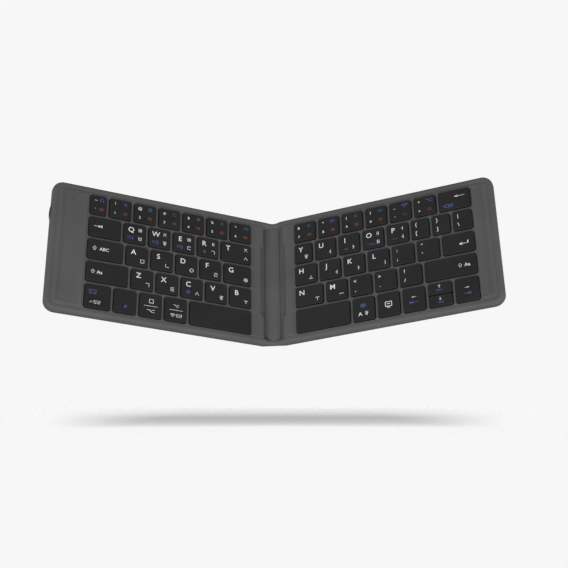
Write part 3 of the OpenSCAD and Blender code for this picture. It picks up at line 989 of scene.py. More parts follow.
@dataclass
class UpperSkin:
    """The soft skin over one half, from the side seam to the floor of the spine.

    The fields that end in "profile" are in millimetres.
    """

    half: Half
    spine: Spine = field(default_factory=Spine)
    seam_gap: float = 0.1 * MM
    sheet_start: float = 12 * MM
    sheet_end: float = 4.3 * MM
    round_steps: int = 7
    # The line pressed into the leather along the rim: the insets and depths across it
    rim_profile: tuple[Pair, ...] = ((1.5, 0), (0.3, -0.22), (0.35, 0), (0.5, 0.22))
    tuck: float = 0.35 * MM
    # The crest: how far back from it, how far below the top, and the share of the lip
    crest_profile: tuple[Triple, ...] = (
        (1.3, 0, 1),
        (0.55, 0.06, 1),
        (0.15, 0.3, 0.5),
        (0, 0.75, 0),
    )
    lip: float = 0.2 * MM
    middle_half: float = 28 * MM
    middle_slope: float = 0.6 * MM
    # The leather falls from the crest to the foot at these shares of the way
    fall: Triple = (0.45, 0.8, 1.0)
    sag: float = 0.35 * MM
    foot: float = 2.35 * MM
    flange_span: Pair = (40.4 * MM, 41.6 * MM)
    flange_steps: int = 3
    flange_step: float = 0.2 * MM
    overlap: float = 0.05 * MM
    valley: Pair = (2.6 * MM, 0.7 * MM)
    valley_span: Pair = (43.2 * MM, 46.5 * MM)
    valley_step: float = 0.6 * MM
    near_valley_drop: float = 0.45 * MM
    # The sheet narrows to the spine's length between these loops of the crease
    taper_loops: tuple[int, int] = (3, 7)
    ridge_inner: float = 0.2 * MM
    ridge_outer: float = 2.7 * MM
    ridge_side: float = 1.8 * MM
    ridge_corner: float = 2.2 * MM
    ridge_root: float = 0.3 * MM
    ridge_block: float = 0.31 * MM
    ridge_rise: float = 0.3 * MM
    # The ridge's soft edge: the insets, and the shares of the rise at each
    ridge_profile: tuple[Pair, ...] = ((0.5, 0.35), (0.4, 0.45), (0.3, 0.2))
    panel_slope: float = 0.6 * MM
    panel_corner: float = 1 * MM
    panel_steps: int = 4
    window_depth: float = 2 * MM
    window_block: float = 3 * MM
    window_steps: int = 5
    window_round: float = 0.35 * MM
    # Where the leather starts to bend at the spine, and how far past the crest it ends
    bend_start: Pair = (5.3 * MM, 2.45 * MM)
    bend_end: float = 1.2 * MM

    @property
    def base(self) -> float:
        """The height of the skin's lower edge on the flat half."""
        return self.half.seam + self.seam_gap

    def make(self, materials: Materials) -> Iterator[Object]:
        """Builds the skin and dresses it in leather that bends from the spine to the half.

        Args:
            materials: The materials by the name of their slot.

        Returns:
            Each finished piece in turn.
        """
        half = self.half
        skin = self.build().obj
        dress(skin, materials, "soft_skin")
        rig.replaces(skin, f"{half.word}_top_skin", f"{half.word}_crease_skin")
        start = (half.sign * self.bend_start[0], 0, self.bend_start[1])
        end = half.swing @ Vector((half.x(half.crest_end + self.bend_end), 0, half.thickness))
        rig.blend(skin, "spine", half.body, start=start, end=tuple(end))
        yield skin

    def build(self) -> Shape:
        """Models the skin flat and swings it into place.

        Returns:
            The finished skin.
        """
        skin = self.shell()
        self.add_crease(skin)
        skin.mend()
        skin.thicken(self.spine.wall)
        skin.combine(self.window_cutters(), Merge.CUT)
        skin.combine(self.panel_ridge(), Merge.ADD)
        skin.combine(self.panel_cutter(), Merge.CUT)
        self.round_windows(skin)
        skin.mend()
        skin.smooth()
        skin.modify("WEIGHTED_NORMAL", keep_sharp=True, mode="FACE_AREA")
        skin.move(self.half.swing)
        return skin

    def shell(self) -> Shape:
        """The rim and the top as an open sheet that ends a little before the crease.

        Returns:
            The open sheet.
        """
        half = self.half
        skin = half.sheet(f"{half.word}_upper_skin", self.sheet_start, self.base)
        with skin.editing():
            select_all()
            extrude_up(self.tuck)
            extrude_up(half.thickness - half.upper_round - half.seam - self.seam_gap - self.tuck)
            round_over(half.upper_round, self.round_steps)
            for width, depth in self.rim_profile:
                inset(width * MM, depth * MM)
            end = (half.x(self.sheet_end), 0, 0)
            slice_at(end, (-half.sign, 0, 0), clear_outer=True)
            for y in (
                self.middle_half + self.middle_slope,
                self.middle_half - self.middle_slope,
                *self.flange_span,
                self.valley_span[0],
                self.valley_span[1] - self.valley_step,
            ):
                for side in (-1, 1):
                    slice_at((0, side * y, 0), (0, 1, 0))
            skin.drop_faces(faces_down)
            skin.pick_points(lambda p: p.z < self.base + NEAR)
            skin.place_picked(self.tucked)
        return skin

    def tucked(self, point: Vector) -> Vector:
        """Where a point of the lower edge lies once the leather is tucked in above the seam.

        Args:
            point: A point of the lower edge.

        Returns:
            Its new place.
        """
        half = self.half
        reach, across = half.length - half.corner_radius, half.depth / 2 - half.corner_radius
        x, y = half.x(min(half.u(point.x), reach)), max(-across, min(across, point.y))
        return point + (Vector((x, y, point.z)) - point).normalized() * self.tuck

    def crease(self, y: float) -> list[tuple[Pair, Pair]]:
        """The loops that carry the sheet over the crest and down to the floor of the spine.

        Args:
            y: Where along the fold.

        Returns:
            For each loop, the (u, height) on the flat half of its top and of its seam.
        """
        half, seam = self.half, self.spine.seam
        in_middle = abs(y) < self.middle_half
        crest, lip = (half.crest_middle, self.lip) if in_middle else (half.crest_end, 0)
        line = [
            half.raised(crest + back * MM, half.thickness - drop * MM + lip * share)
            for back, drop, share in self.crest_profile
        ]
        brow, foot = line[-1], (half.floor_edge, self.foot)
        for share in self.fall:
            sag = self.sag * math.sin(math.pi * share)
            x = brow[0] + (foot[0] - brow[0]) * share
            line.append((x, brow[1] + (foot[1] - brow[1]) * share - sag))
        # A flange runs on under the floor, and at the ends it reaches the middle
        reach = eased(abs(y), self.flange_span)
        for i in range(1, self.flange_steps + 1):
            short = foot[0] - self.flange_step * i
            long = foot[0] + (-self.overlap - foot[0]) * i / self.flange_steps
            line.append((short + (long - short) * reach, foot[1]))

        # At the very ends all of it rises into a valley that runs from rim to rim
        rise = eased(abs(y), self.valley_span)
        rim_x, rim_z = half.raised(half.crest_end + self.crest_profile[0][0] * MM, half.thickness)
        bottom, lift = self.valley
        bottom -= self.near_valley_drop if y < 0 else 0
        slope = (rim_z - bottom) / rim_x
        seam_x, seam_z = half.raised(crest + self.crest_profile[0][0] * MM, self.base)
        last = len(line) - 1
        loops = []
        for i, (x, z) in enumerate(line):
            low_z = seam + (seam_z - seam) * max(0, x - foot[0]) / (seam_x - foot[0])
            if i > 0:
                goal = rim_x * (1 - i / last) - self.overlap * i / last
                x += (goal - x) * rise
                z += (bottom + math.hypot(slope * goal, lift) - z) * rise
            loops.append((half.flat(x, z), half.flat(x, low_z)))
        return loops

    def add_crease(self, skin: Shape) -> None:
        """Extrudes the sheet's inner end loop by loop along the crease.

        Args:
            skin: The open sheet.
        """
        half = self.half
        narrow = self.spine.half_length / (half.depth / 2) - 1
        start, finish = self.taper_loops
        with skin.editing():
            skin.pick_points(lambda p: abs(half.u(p.x) - self.sheet_end) < NEAR)
            mesh = bmesh.from_edit_mesh(skin.obj.data)
            height = half.thickness - self.base
            points = sorted(
                (v.co.y, (v.co.z - self.base) / height) for v in mesh.verts if v.select
            )
            creases = [self.crease(y) for y, _ in points]
            for i in range(len(creases[0])):
                step = {"value": (-half.sign * MM, 0, 0)}
                bpy.ops.mesh.extrude_region_move(TRANSFORM_OT_translate=step)
                mesh = bmesh.from_edit_mesh(skin.obj.data)
                picked = (v for v in mesh.verts if v.select)
                moved = sorted(picked, key=lambda v: (v.co.y, v.co.z))
                taper = 1 + narrow * min(1, max(0, i - start) / (finish - start))
                for vertex, (y, share), loops in zip(moved, points, creases):
                    top, low = loops[i]
                    u, z = (l + (t - l) * share for l, t in zip(low, top))
                    vertex.co = Vector((half.x(u), y * taper, z))
                bmesh.update_edit_mesh(skin.obj.data)

    def window_cutters(self) -> Shape:
        """One body of rounded prisms, one for each key's window.

        Returns:
            The closed prisms as one shape.
        """
        half, gap = self.half, self.half.window_clearance
        prisms = []
        for i, cell in enumerate(half.cells()):
            name, centre = f"window_{i}", (cell.x, cell.y)
            size = (cell.width + 2 * gap, cell.depth + 2 * gap)
            corner, z = half.key_corner + gap, half.thickness - self.window_depth
            prism = rounded_plate(name, centre, size, corner, z, self.window_steps)
            with prism.editing():
                select_all()
                extrude_up(self.window_block)
            prisms.append(prism.obj)
        cutter = Shape(join("windows", prisms), "windows")
        cutter.mend()
        return cutter

    def panel_ridge(self) -> Shape:
        """The low soft-edged block that the panel is sunk into, which leaves a ridge round it.

        Returns:
            The closed block.
        """
        half = self.half
        start = half.keys_outer - self.ridge_inner
        finish = half.length - half.panel_inset + self.ridge_outer
        size = (finish - start, half.depth - 2 * (half.panel_border - self.ridge_side))
        centre = (half.x((start + finish) / 2), 0)
        z = half.thickness - self.ridge_root
        block = rounded_plate("ridge", centre, size, self.ridge_corner, z, self.panel_steps)
        with block.editing():
            select_all()
            extrude_up(self.ridge_block)
            for width, rise in self.ridge_profile:
                inset(width * MM, rise * self.ridge_rise)
        block.mend()
        return block

    def panel_cutter(self) -> Shape:
        """The soft-edged block that sinks the panel at the outer end.

        Returns:
            The closed block.
        """
        half, slope = self.half, self.panel_slope
        start, finish = half.keys_outer + half.panel_gap, half.length - half.panel_inset
        size = (finish - start, half.depth - 2 * half.panel_border)
        centre = (half.x((start + finish) / 2), 0)
        floor = (size[0] - 2 * slope, size[1] - 2 * slope)
        z = half.thickness - half.panel_sunk
        block = rounded_plate("panel", centre, floor, self.panel_corner, z, self.panel_steps)
        with block.editing():
            select_all()
            extrude_up(2 * half.panel_sunk)
            # The block is twice as tall as the panel is deep, so its sides lean out twice
            share_x, share_y = (1 + 4 * slope / (s - 2 * slope) for s in size)
            bpy.ops.transform.resize(value=(share_x, share_y, 1), center_override=(*centre, 0))
        block.mend()
        return block

    def round_windows(self, skin: Shape) -> None:
        """Rounds the leather over the upper edge of each window.

        Args:
            skin: The skin with its windows cut.
        """
        top = self.half.thickness

        def is_lip(edge: bmesh.types.BMEdge) -> bool:
            """Whether an edge lies between the flat top and the upright wall of a window."""
            if any(abs(v.co.z - top) > NEAR for v in edge.verts) or len(edge.link_faces) != 2:
                return False
            upright, level = sorted(abs(f.normal.z) for f in edge.link_faces)
            return upright < 0.1 and level > 0.95

        with skin.editing():
            skin.pick_edges(is_lip)
            bpy.ops.mesh.bevel(
                offset=self.window_round, segments=3, affect="EDGES", clamp_overlap=True
            )


@dataclass
class LowerSkin:
    """The soft skin on the back of one half."""

    half: Half
    sheet_start: float = 20 * MM
    wall: float = 0.8 * MM
    # The bonded seam stands proud of the side by the bead
    bead: float = 0.2 * MM
    bead_height: float = 0.35 * MM
    round_steps: int = 6

    def make(self, materials: Materials) -> Iterator[Object]:
        """Builds the skin and dresses it in leather that stays with the half.

        Args:
            materials: The materials by the name of their slot.

        Returns:
            Each finished piece in turn.
        """
        skin = self.build().obj
        dress(skin, materials, "soft_skin")
        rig.replaces(skin, f"{self.half.word}_back_skin")
        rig.ride(skin, self.half.body)
        yield skin

    def build(self) -> Shape:
        """Models the tray flat and swings it into place.

        Returns:
            The finished skin.
        """
        half = self.half
        skin = half.sheet(f"{half.word}_lower_skin", self.sheet_start, half.seam)
        with skin.editing():
            select_all()
            bpy.ops.mesh.flip_normals()
            inset(self.bead, use_outset=True)
            select_all()
            extrude_up(-self.bead_height)
            inset(self.bead, self.bead)
            extrude_up(half.lower_round - half.seam + self.bead_height + self.bead)
            round_over(half.lower_round, self.round_steps)
            slice_at((half.x(0), 0, 0), (-half.sign, 0, 0), clear_outer=True)
            skin.drop_faces(lambda f: f.calc_center_median().z > half.seam - NEAR)
        skin.mend()
        skin.thicken(self.wall)
        skin.mend()
        skin.smooth()
        skin.move(half.swing)
        return skin


# ---- Keys ----------------------------------------------------------------------------------


@dataclass
class Keycaps:
    """The keycaps of one half, one piece for each node."""

    half: Half
    corner_steps: int = 6
    edge_round: float = 0.5 * MM
    edge_steps: int = 4
    dish_rim: float = 0.6 * MM
    wall: float = 0.9 * MM
    arrow_gap: float = 0.6 * MM

    def make(self, materials: Materials) -> Iterator[Object]:
        """Builds every cap and dresses it in the keys' plastic; each moves with its node.

        Args:
            materials: The materials by the name of their slot.

        Returns:
            Each finished piece in turn.
        """
        caps: dict[str, list[Object]] = {}
        for cell in self.half.cells():
            for y, depth in self.places(cell):
                caps.setdefault(cell.key.node, []).append(self.cap(cell, y, depth).obj)
        for node, made in caps.items():
            piece = join(f"{node}_caps", made)
            dress(piece, materials, "keycap")
            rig.replaces(piece, node)
            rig.ride(piece, node)
            yield piece

    def places(self, cell: Cell) -> list[Pair]:
        """The middle and depth of each cap in a window; the arrow keys share one.

        Args:
            cell: The window's cell.

        Returns:
            For each cap, its middle and depth along y.
        """
        if cell.key.name != "arrows":
            return [(cell.y, cell.depth)]
        depth = (cell.depth - self.arrow_gap) / 2
        return [(cell.y + side * (depth + self.arrow_gap) / 2, depth) for side in (1, -1)]

    def cap(self, cell: Cell, y: float, depth: float) -> Shape:
        """One hollow cap with a rounded upper edge.

        Args:
            cell: The key's cell.
            y: The cap's middle.
            depth: The cap's depth.

        Returns:
            The finished cap.
        """
        half = self.half
        size, base = (cell.width, depth), half.cap_top - half.cap_height
        corner = half.key_corner
        cap = rounded_plate("cap", (cell.x, y), size, corner, base, self.corner_steps)
        with cap.editing():
            select_all()
            extrude_up(half.cap_height - self.edge_round)
            round_over(self.edge_round, self.edge_steps)
            # The top is a hair lower in the middle, as a moulded cap is
            inset(self.dish_rim, -half.cap_dish)
            cap.drop_faces(faces_down)
        cap.thicken(self.wall)
        cap.smooth(40)
        cap.move(half.swing)
        return cap


# ---- Legends -------------------------------------------------------------------------------

Stroke = tuple[Pair, ...]


def arc(start: float, end: float, radius: float = 0.42, middle: Pair = (0, 0)) -> Stroke:
    """Points along an arc between two angles in degrees.

    Args:
        start: The angle at its start.
        end: The angle at its end.
        radius: Its radius.
        middle: Its middle.

    Returns:
        The stroke.
    """
    steps = max(4, round(abs(end - start) / 24))
    turns = (math.radians(start + (end - start) * i / steps) for i in range(steps + 1))
    x, y = middle
    return tuple((x + radius * math.cos(t), y + radius * math.sin(t)) for t in turns)


def pen(path: str) -> tuple[Stroke, ...]:
    """Strokes from a path of "x,y" points in hundredths, with a slash between strokes.

    Args:
        path: The points of every stroke.

    Returns:
        The strokes.
    """
    return tuple(
        tuple(tuple(int(v) / 100 for v in point.split(",")) for point in stroke.split())
        for stroke in path.split("/")
    )


class Sign(Enum):
    """Small signs drawn with a round pen in a square that reaches from -0.5 to 0.5."""

    BOX = pen("-40,-40 40,-40 40,40 -40,40 -40,-40")
    RING = (arc(0, 360),)
    ANGLE = pen("-35,45 -35,-35 40,-35")
    HOOK = pen("-35,40 38,40 38,-45")
    TEE = pen("-45,25 45,25 / 0,25 0,-45")
    FOOT = pen("-45,-30 45,-30 / 0,-30 0,40")
    BAR = pen("-50,0 50,0")
    POST = pen("0,-50 0,50")
    TICK_LEFT = pen("15,-50 15,50 / 15,0 -20,0")
    TICK_RIGHT = pen("-15,-50 -15,50 / -15,0 20,0")
    RAILS = pen("-15,-50 -15,50 / 25,-50 25,50 / -15,0 25,0")
    PEAK = pen("-40,-40 0,40 40,-40")
    ROOF = pen("-40,40 40,40 / -40,-40 0,40 40,-40")
    GATE = pen("-30,45 -30,-40 30,-40 30,45 / -30,5 30,5")
    CUP = pen("40,35 -35,35 -35,-35 40,-35")
    COMB = pen("40,40 -35,40 -35,-40 40,-40 / -35,0 40,0")
    STEPS = pen("-35,40 35,40 35,0 -35,0 -35,-40 35,-40")
    TOP = (*pen("-40,40 40,40 / -40,10 40,10"), arc(0, 360, 0.2, (0, -0.25)))
    HOUSE = pen("-45,0 0,42 45,0 / -30,10 -30,-40 30,-40 30,10")
    GLASS = (arc(0, 360, 0.28, (-0.1, 0.1)), *pen("10,-12 42,-42"))
    GRID = pen("-40,-40 40,-40 40,40 -40,40 -40,-40 / 0,-40 0,40 / -40,0 40,0")
    TARGET = (arc(0, 360), arc(0, 360, 0.12))
    PERSON = (arc(0, 360, 0.18, (0, 0.25)), arc(0, 180, 0.36, (0, -0.42)))
    BACK = pen("10,40 -35,0 10,-40 / 50,40 5,0 50,-40")
    PLAY = pen("-30,40 30,0 -30,-40 -30,40")
    ONWARD = pen("-10,40 35,0 -10,-40 / -50,40 -5,0 -50,-40")
    SPEAKER = pen("-45,-15 -45,15 -20,15 10,40 10,-40 -20,-15 -45,-15")
    LOUDER = (
        *pen("-45,-15 -45,15 -20,15 0,40 0,-40 -20,-15 -45,-15"),
        arc(-50, 50, 0.35, (0.1, 0)),
    )
    ARROW_LEFT = pen("50,0 -45,0 / -15,28 -48,0 -15,-28")
    ARROW_RIGHT = pen("-50,0 45,0 / 15,28 48,0 15,-28")
    ARROW_UP = pen("0,-50 0,45 / -28,15 0,48 28,15")
    ARROW_DOWN = pen("0,50 0,-45 / -28,-15 0,-48 28,-15")
    TO_BAR = pen("-50,0 35,0 / 10,30 38,0 10,-30 / 50,40 50,-40")
    HOLLOW_UP = pen("0,50 -45,5 -20,5 -20,-40 20,-40 20,5 45,5 0,50")
    RETURN = pen("45,45 45,-15 -40,-15 / -15,12 -45,-15 -15,-42")
    ERASE = pen("-50,0 -20,40 50,40 50,-40 -20,-40 -50,0 / 0,18 28,-18 / 0,-18 28,18")
    SWITCH = pen("-50,35 -20,35 15,-35 50,-35 / 10,35 50,35")
    KNOT = (
        arc(0, 270, 0.2, (-0.25, 0.25)),
        arc(180, -90, 0.2, (0.25, 0.25)),
        *pen("-25,5 25,5 / -25,-30 25,-30"),
    )
    SCREEN = pen("-45,-30 45,-30 45,45 -45,45 -45,-30 / -20,-50 20,-50 / -20,10 20,10")
    GLOBE = (arc(0, 360), *pen("-42,0 42,0 / 0,-42 0,42"))
    LINK = pen("-50,40 50,40 50,-10 -50,-10 -50,40 / -50,-40 -10,-40 / 10,-40 50,-40")


@dataclass(frozen=True)
class Mark:
    """One printed mark. Lengths are in millimetres.

    x and y lead from the cap's left and far edges to the middle of the mark, and a negative x
    leads from the right edge. stretch widens the mark, and mirrors it where it is negative.
    """

    ink: Ink
    form: Sign | str
    x: float
    y: float
    height: float
    stretch: float = 1.0


def white(form: Sign | str, *sizes: float) -> Mark:
    """A mark in white ink; the sizes are the mark's own, in order."""
    return Mark(Ink.WHITE, form, *sizes)


def blue(form: Sign | str, *sizes: float) -> Mark:
    """A mark in blue ink."""
    return Mark(Ink.BLUE, form, *sizes)


def red(form: Sign | str, *sizes: float) -> Mark:
    """A mark in red ink."""
    return Mark(Ink.RED, form, *sizes)


def letter(character: str, *others: Mark) -> tuple[Mark, ...]:
    """The marks of a letter key: its capital at the upper left, and its others."""
    return (white(character, 4.9, 4.4, 3.9), *others)


def low(form: Sign, x: float = -4.1) -> Mark:
    """A white mark at the lower right of a letter key."""
    return white(form, x, 10.7, 3.0)


def high(form: Sign) -> Mark:
    """A white mark at the upper right of a letter key."""
    return white(form, -4.1, 4.2, 2.6)


def number(
    character: str, shifted: str, sign: Sign, digits: str, stretch: float = 1.0
) -> tuple[Mark, ...]:
    """The marks of a key of the number row.

    Args:
        character: The character at the lower left.
        shifted: The character at the upper left.
        sign: The blue sign at the upper right.
        digits: The red digits at the lower right.
        stretch: How much the sign is widened.

    Returns:
        The four marks.
    """
    return (
        white(shifted, 3.8, 3.6, 2.1),
        white(character, 3.8, 10.8, 2.0),
        blue(sign, -4.2, 3.4, 2.7, stretch),
        red(digits, -4.3, 10.5, 2.2),
    )


def pair(upper: str, lower: str) -> tuple[Mark, ...]:
    """The two marks of a punctuation key."""
    return (white(upper, 3.6, 3.7, 2.7), white(lower, 3.6, 10.3, 2.7))


def layer(digit: str) -> tuple[Mark, ...]:
    """A blue digit with its link sign in the lower left of a letter key."""
    return (blue(digit, 6.0, 10.8, 2.8), blue(Sign.LINK, 3.7, 10.8, 2.2))


PUNCTUATION = ("{[", "}]", "|\\", ":;", "\"'", "<,", ">.", "?/")
LEGENDS: dict[str, tuple[Mark, ...]] = {
    "grave": (
        white("~", 3.6, 3.6, 2.4),
        white("`", 3.4, 11.0, 2.4),
        blue(Sign.HOUSE, 7.8, 3.4, 3.0, 1.2),
        red("00", 7.6, 10.5, 2.2),
    ),
    "1": number("1", "!", Sign.GLASS, "01"),
    "2": number("2", "@", Sign.GRID, "02"),
    "3": number("3", "#", Sign.CUP, "03"),
    "4": number("4", "$", Sign.TARGET, "04"),
    "5": number("5", "%", Sign.PERSON, "05"),
    "6": number("6", "^", Sign.BACK, "06", 1.6),
    "7": number("7", "&", Sign.PLAY, "07", 1.4),
    "8": number("8", "*", Sign.ONWARD, "08", 1.6),
    "9": number("9", "(", Sign.SPEAKER, "09"),
    "0": number("0", ")", Sign.LOUDER, "10", 1.2),
    "-": number("-", "_", Sign.KNOT, "11", 1.6),
    "=": number("=", "+", Sign.SWITCH, "12", 1.8),
    "backspace": (
        white(Sign.ARROW_LEFT, -7.2, 5.1, 2.2, 3.2),
        blue(Sign.ERASE, 6.4, 11.4, 2.8, 2.2),
    ),
    "tab": (white(Sign.TO_BAR, 5.9, 6.9, 2.6, 2.1),),
    "q": letter("Q", high(Sign.GRID), low(Sign.GATE), *layer("1")),
    "w": letter("W", high(Sign.ROOF), low(Sign.TOP), *layer("2")),
    "e": letter("E", high(Sign.GRID), low(Sign.CUP), *layer("3")),
    "r": letter("R", high(Sign.RAILS), low(Sign.HOOK), blue("4", 4.9, 10.8, 2.8)),
    "t": letter("T", high(Sign.ROOF), low(Sign.PEAK)),
    "y": letter("Y", low(Sign.TOP)),
    "u": letter("U", low(Sign.TICK_LEFT)),
    "i": letter("I", low(Sign.TICK_RIGHT), blue(Sign.BACK, 5.2, 11.4, 1.7, 2.2)),
    "o": letter("O", high(Sign.RAILS), low(Sign.RAILS), blue(Sign.SWITCH, 6.4, 11.8, 1.4, 4.2)),
    "p": letter("P", high(Sign.TICK_LEFT), low(Sign.TICK_LEFT), red(Sign.BAR, 5.4, 11.3, 2.6, 1.4)),
    "caps": (white(Sign.HOLLOW_UP, 4.6, 6.9, 3.0), white("ABC", 11.2, 6.9, 2.5)),
    "a": letter("A", low(Sign.BOX)),
    "s": letter("S", low(Sign.ANGLE)),
    "d": letter("D", low(Sign.RING)),
    "f": letter("F", low(Sign.STEPS)),
    "g": letter("G", low(Sign.TARGET)),
    "h": letter("H", low(Sign.FOOT)),
    "j": letter("J", low(Sign.TICK_LEFT, x=-2.9)),
    "k": letter("K", low(Sign.TICK_RIGHT)),
    "l": letter("L", low(Sign.POST, x=-2.9)),
    "enter": (white(Sign.RETURN, -7.2, 7.9, 3.2, 2.0),),
    "left_shift": (white(Sign.HOLLOW_UP, 4.4, 7.4, 2.8), white("Aa", 8.9, 7.4, 2.6)),
    "z": letter("Z", low(Sign.HOOK)),
    "x": letter("X", low(Sign.COMB)),
    "c": letter("C", low(Sign.PEAK), blue(Sign.TARGET, 4.9, 10.5, 2.8)),
    "v": letter("V", low(Sign.TOP)),
    "b": letter("B", low(Sign.TEE)),
    "n": letter("N", low(Sign.TEE)),
    "m": letter("M", low(Sign.BAR)),
    "right_shift": (white(Sign.HOLLOW_UP, -11.0, 7.4, 2.8), white("Aa", -6.2, 7.4, 2.6)),
    "control": (
        blue(Sign.LINK, 5.2, 5.5, 3.4, 1.3),
        white(Sign.PEAK, 4.4, 12.8, 1.8, 1.2),
        white(Sign.LINK, 8.4, 12.8, 2.4, 1.6),
    ),
    "function": (blue("F", 8.2, 12.4, 2.6, 1.3),),
    "option": (
        white(Sign.BOX, 8.0, 5.3, 3.4),
        white(Sign.BAR, 7.7, 9.0, 2.0, 4.6),
        white(Sign.SWITCH, 7.8, 12.7, 2.4, 2.2),
    ),
    "alternate": (
        white(Sign.SWITCH, 7.7, 5.8, 2.2, 1.8),
        white(Sign.BAR, 7.7, 8.9, 2.0, 4.6),
        white(Sign.KNOT, 5.4, 12.9, 2.6),
        white(Sign.LINK, 9.8, 12.9, 2.4, 1.6),
    ),
    "language": (
        blue(Sign.GLOBE, 7.4, 6.1, 3.0, 1.3),
        white("A", 5.2, 12.1, 2.8, 1.1),
        white(Sign.TOP, 9.6, 12.1, 2.8),
    ),
    "screen": (white(Sign.SCREEN, 7.6, 8.7, 4.4, 1.1),),
    "home": (white(Sign.ARROW_LEFT, 7.7, 6.9, 1.8, 1.6), blue(Sign.TO_BAR, 7.7, 10.8, 2.4, -2.4)),
    "arrows_0": (white(Sign.ARROW_UP, 7.8, 2.7, 2.2), blue(Sign.ONWARD, 7.8, 5.4, 1.8, 2.6)),
    "arrows_1": (white(Sign.ARROW_DOWN, 7.8, 2.7, 2.2), blue(Sign.BACK, 7.8, 5.4, 1.8, 2.6)),
    "end": (white(Sign.ARROW_RIGHT, 7.8, 7.2, 1.8, 1.6), blue(Sign.TO_BAR, 7.8, 11.5, 2.4, 1.9)),
    **{lower: pair(upper, lower) for upper, lower in PUNCTUATION},
}


@dataclass
class Legends:
    """The marks printed on the keycaps of one half, one piece for each node."""

    half: Half
    film: float = 0.02 * MM
    # Shares of a mark's height: the stroke of a sign, what is left of its thickness when it is
    # pressed flat, how much a letter is fattened and how thick it is
    stroke: float = 0.13
    pressed: float = 0.08
    letter_weight: float = 0.006
    letter_rise: float = 0.004
    # The height of a capital of the built-in face at a size of 1
    capital: float = 0.73

    def make(self, materials: Materials) -> Iterator[Object]:
        """Prints every mark in its ink; each moves with the node of its cap.

        Args:
            materials: The materials by name, the inks among them.

        Returns:
            Each finished piece in turn.
        """
        stamps: dict[Sign | str, Object] = {}
        printed: dict[str, list[Object]] = {}
        for cell in self.half.cells():
            for i, (y, depth) in enumerate(Keycaps(self.half).places(cell)):
                name = f"arrows_{i}" if cell.key.name == "arrows" else cell.key.name
                for mark in LEGENDS.get(name, ()):
                    if mark.form not in stamps:
                        stamps[mark.form] = self.stamp(mark.form)
                    copy = self.print_mark(stamps[mark.form], mark, cell, y + depth / 2)
                    copy.data.materials.clear()
                    copy.data.materials.append(materials[mark.ink.value.name])
                    printed.setdefault(cell.key.node, []).append(copy)
        for stamp in stamps.values():
            bpy.data.objects.remove(stamp, do_unlink=True)
        for node, copies in printed.items():
            shape = Shape(join(f"{node}_marks", copies), f"{node}_marks")
            shape.move(self.half.swing)
            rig.ride(shape.obj, node)
            yield shape.obj

    def stamp(self, form: Sign | str) -> Object:
        """Cuts one form at a height of 1, centred, as a thin solid."""
        return self.letters(form) if isinstance(form, str) else self.sign(form)

    def letters(self, text: str) -> Object:
        """Cuts letters or digits from the built-in face.

        Args:
            text: What they say.

        Returns:
            The stamp.
        """
        bpy.ops.object.text_add()
        stamp = bpy.context.active_object
        stamp.data.body = text
        stamp.data.resolution_u = 3
        stamp.data.offset = self.letter_weight
        stamp.data.extrude = self.letter_rise
        only(stamp)
        bpy.ops.object.convert(target="MESH")
        xs = [v.co.x for v in stamp.data.vertices]
        centre = Matrix.Translation((-(min(xs) + max(xs)) / 2, -self.capital / 2, 0))
        stamp.data.transform(Matrix.Scale(1 / self.capital, 4) @ centre)
        return stamp

    def sign(self, form: Sign) -> Object:
        """Draws a sign with a round pen and presses it flat.

        Args:
            form: The sign.

        Returns:
            The stamp.
        """
        curve = bpy.data.curves.new("sign", "CURVE")
        curve.dimensions = "3D"
        curve.bevel_depth, curve.bevel_resolution = self.stroke / 2, 1
        curve.use_fill_caps = True
        for stroke in form.value:
            spline = curve.splines.new("POLY")
            spline.points.add(len(stroke) - 1)
            for point, (x, y) in zip(spline.points, stroke):
                point.co = (x, y, 0, 1)
        stamp = place_new("sign", curve)
        only(stamp)
        bpy.ops.object.convert(target="MESH")
        stamp.data.transform(Matrix.Scale(self.pressed, 4, (0, 0, 1)))
        return stamp

    def print_mark(
        self, stamp: Object, mark: Mark, cell: Cell, far: float
    ) -> Object:
        """Lays a copy of a stamp on a cap of the flat half.

        Args:
            stamp: The form at a height of 1.
            mark: The mark to print.
            cell: The key's cell.
            far: The y of the cap's far edge.

        Returns:
            The copy.
        """
        edge = cell.x - cell.width / 2 if mark.x > 0 else cell.x + cell.width / 2
        z = self.half.cap_top - self.half.cap_dish + self.film / 2
        place = Matrix.Translation((edge + mark.x * MM, far - mark.y * MM, z))
        mesh = stamp.data.copy()
        size = mark.height * MM
        mesh.transform(place @ Matrix.Diagonal((size * mark.stretch, size, size, 1)))
        if mark.stretch < 0:
            mesh.flip_normals()
        return place_new("mark", mesh)


# ---- Mechanism -----------------------------------------------------------------------------


def copy_of(node: str, name: str) -> Shape:
    """A new piece with a copy of a CAD node's mesh.

    Args:
        node: The node's name.
        name: The piece's name.

    Returns:
        The copy, with its doubles merged.
    """
    copy = Shape(place_new(name, frame["nodes"][node].data.copy()), name)
    copy.move(frame["nodes"][node].matrix_world.copy())
    copy.mend()
    return copy


def under(cells: list[Cell], point: Vector) -> bool:
    """Whether a point of the flat half lies under one of the caps."""
    return any(
        abs(point.x - c.x) < c.width / 2 and abs(point.y - c.y) < c.depth / 2 for c in cells
    )


def node_slots() -> dict[str, str]:
    """The record's material slot of every CAD node."""
    return {s["node"]: s["material_slot"] for s in frame["record"]["subparts"]}


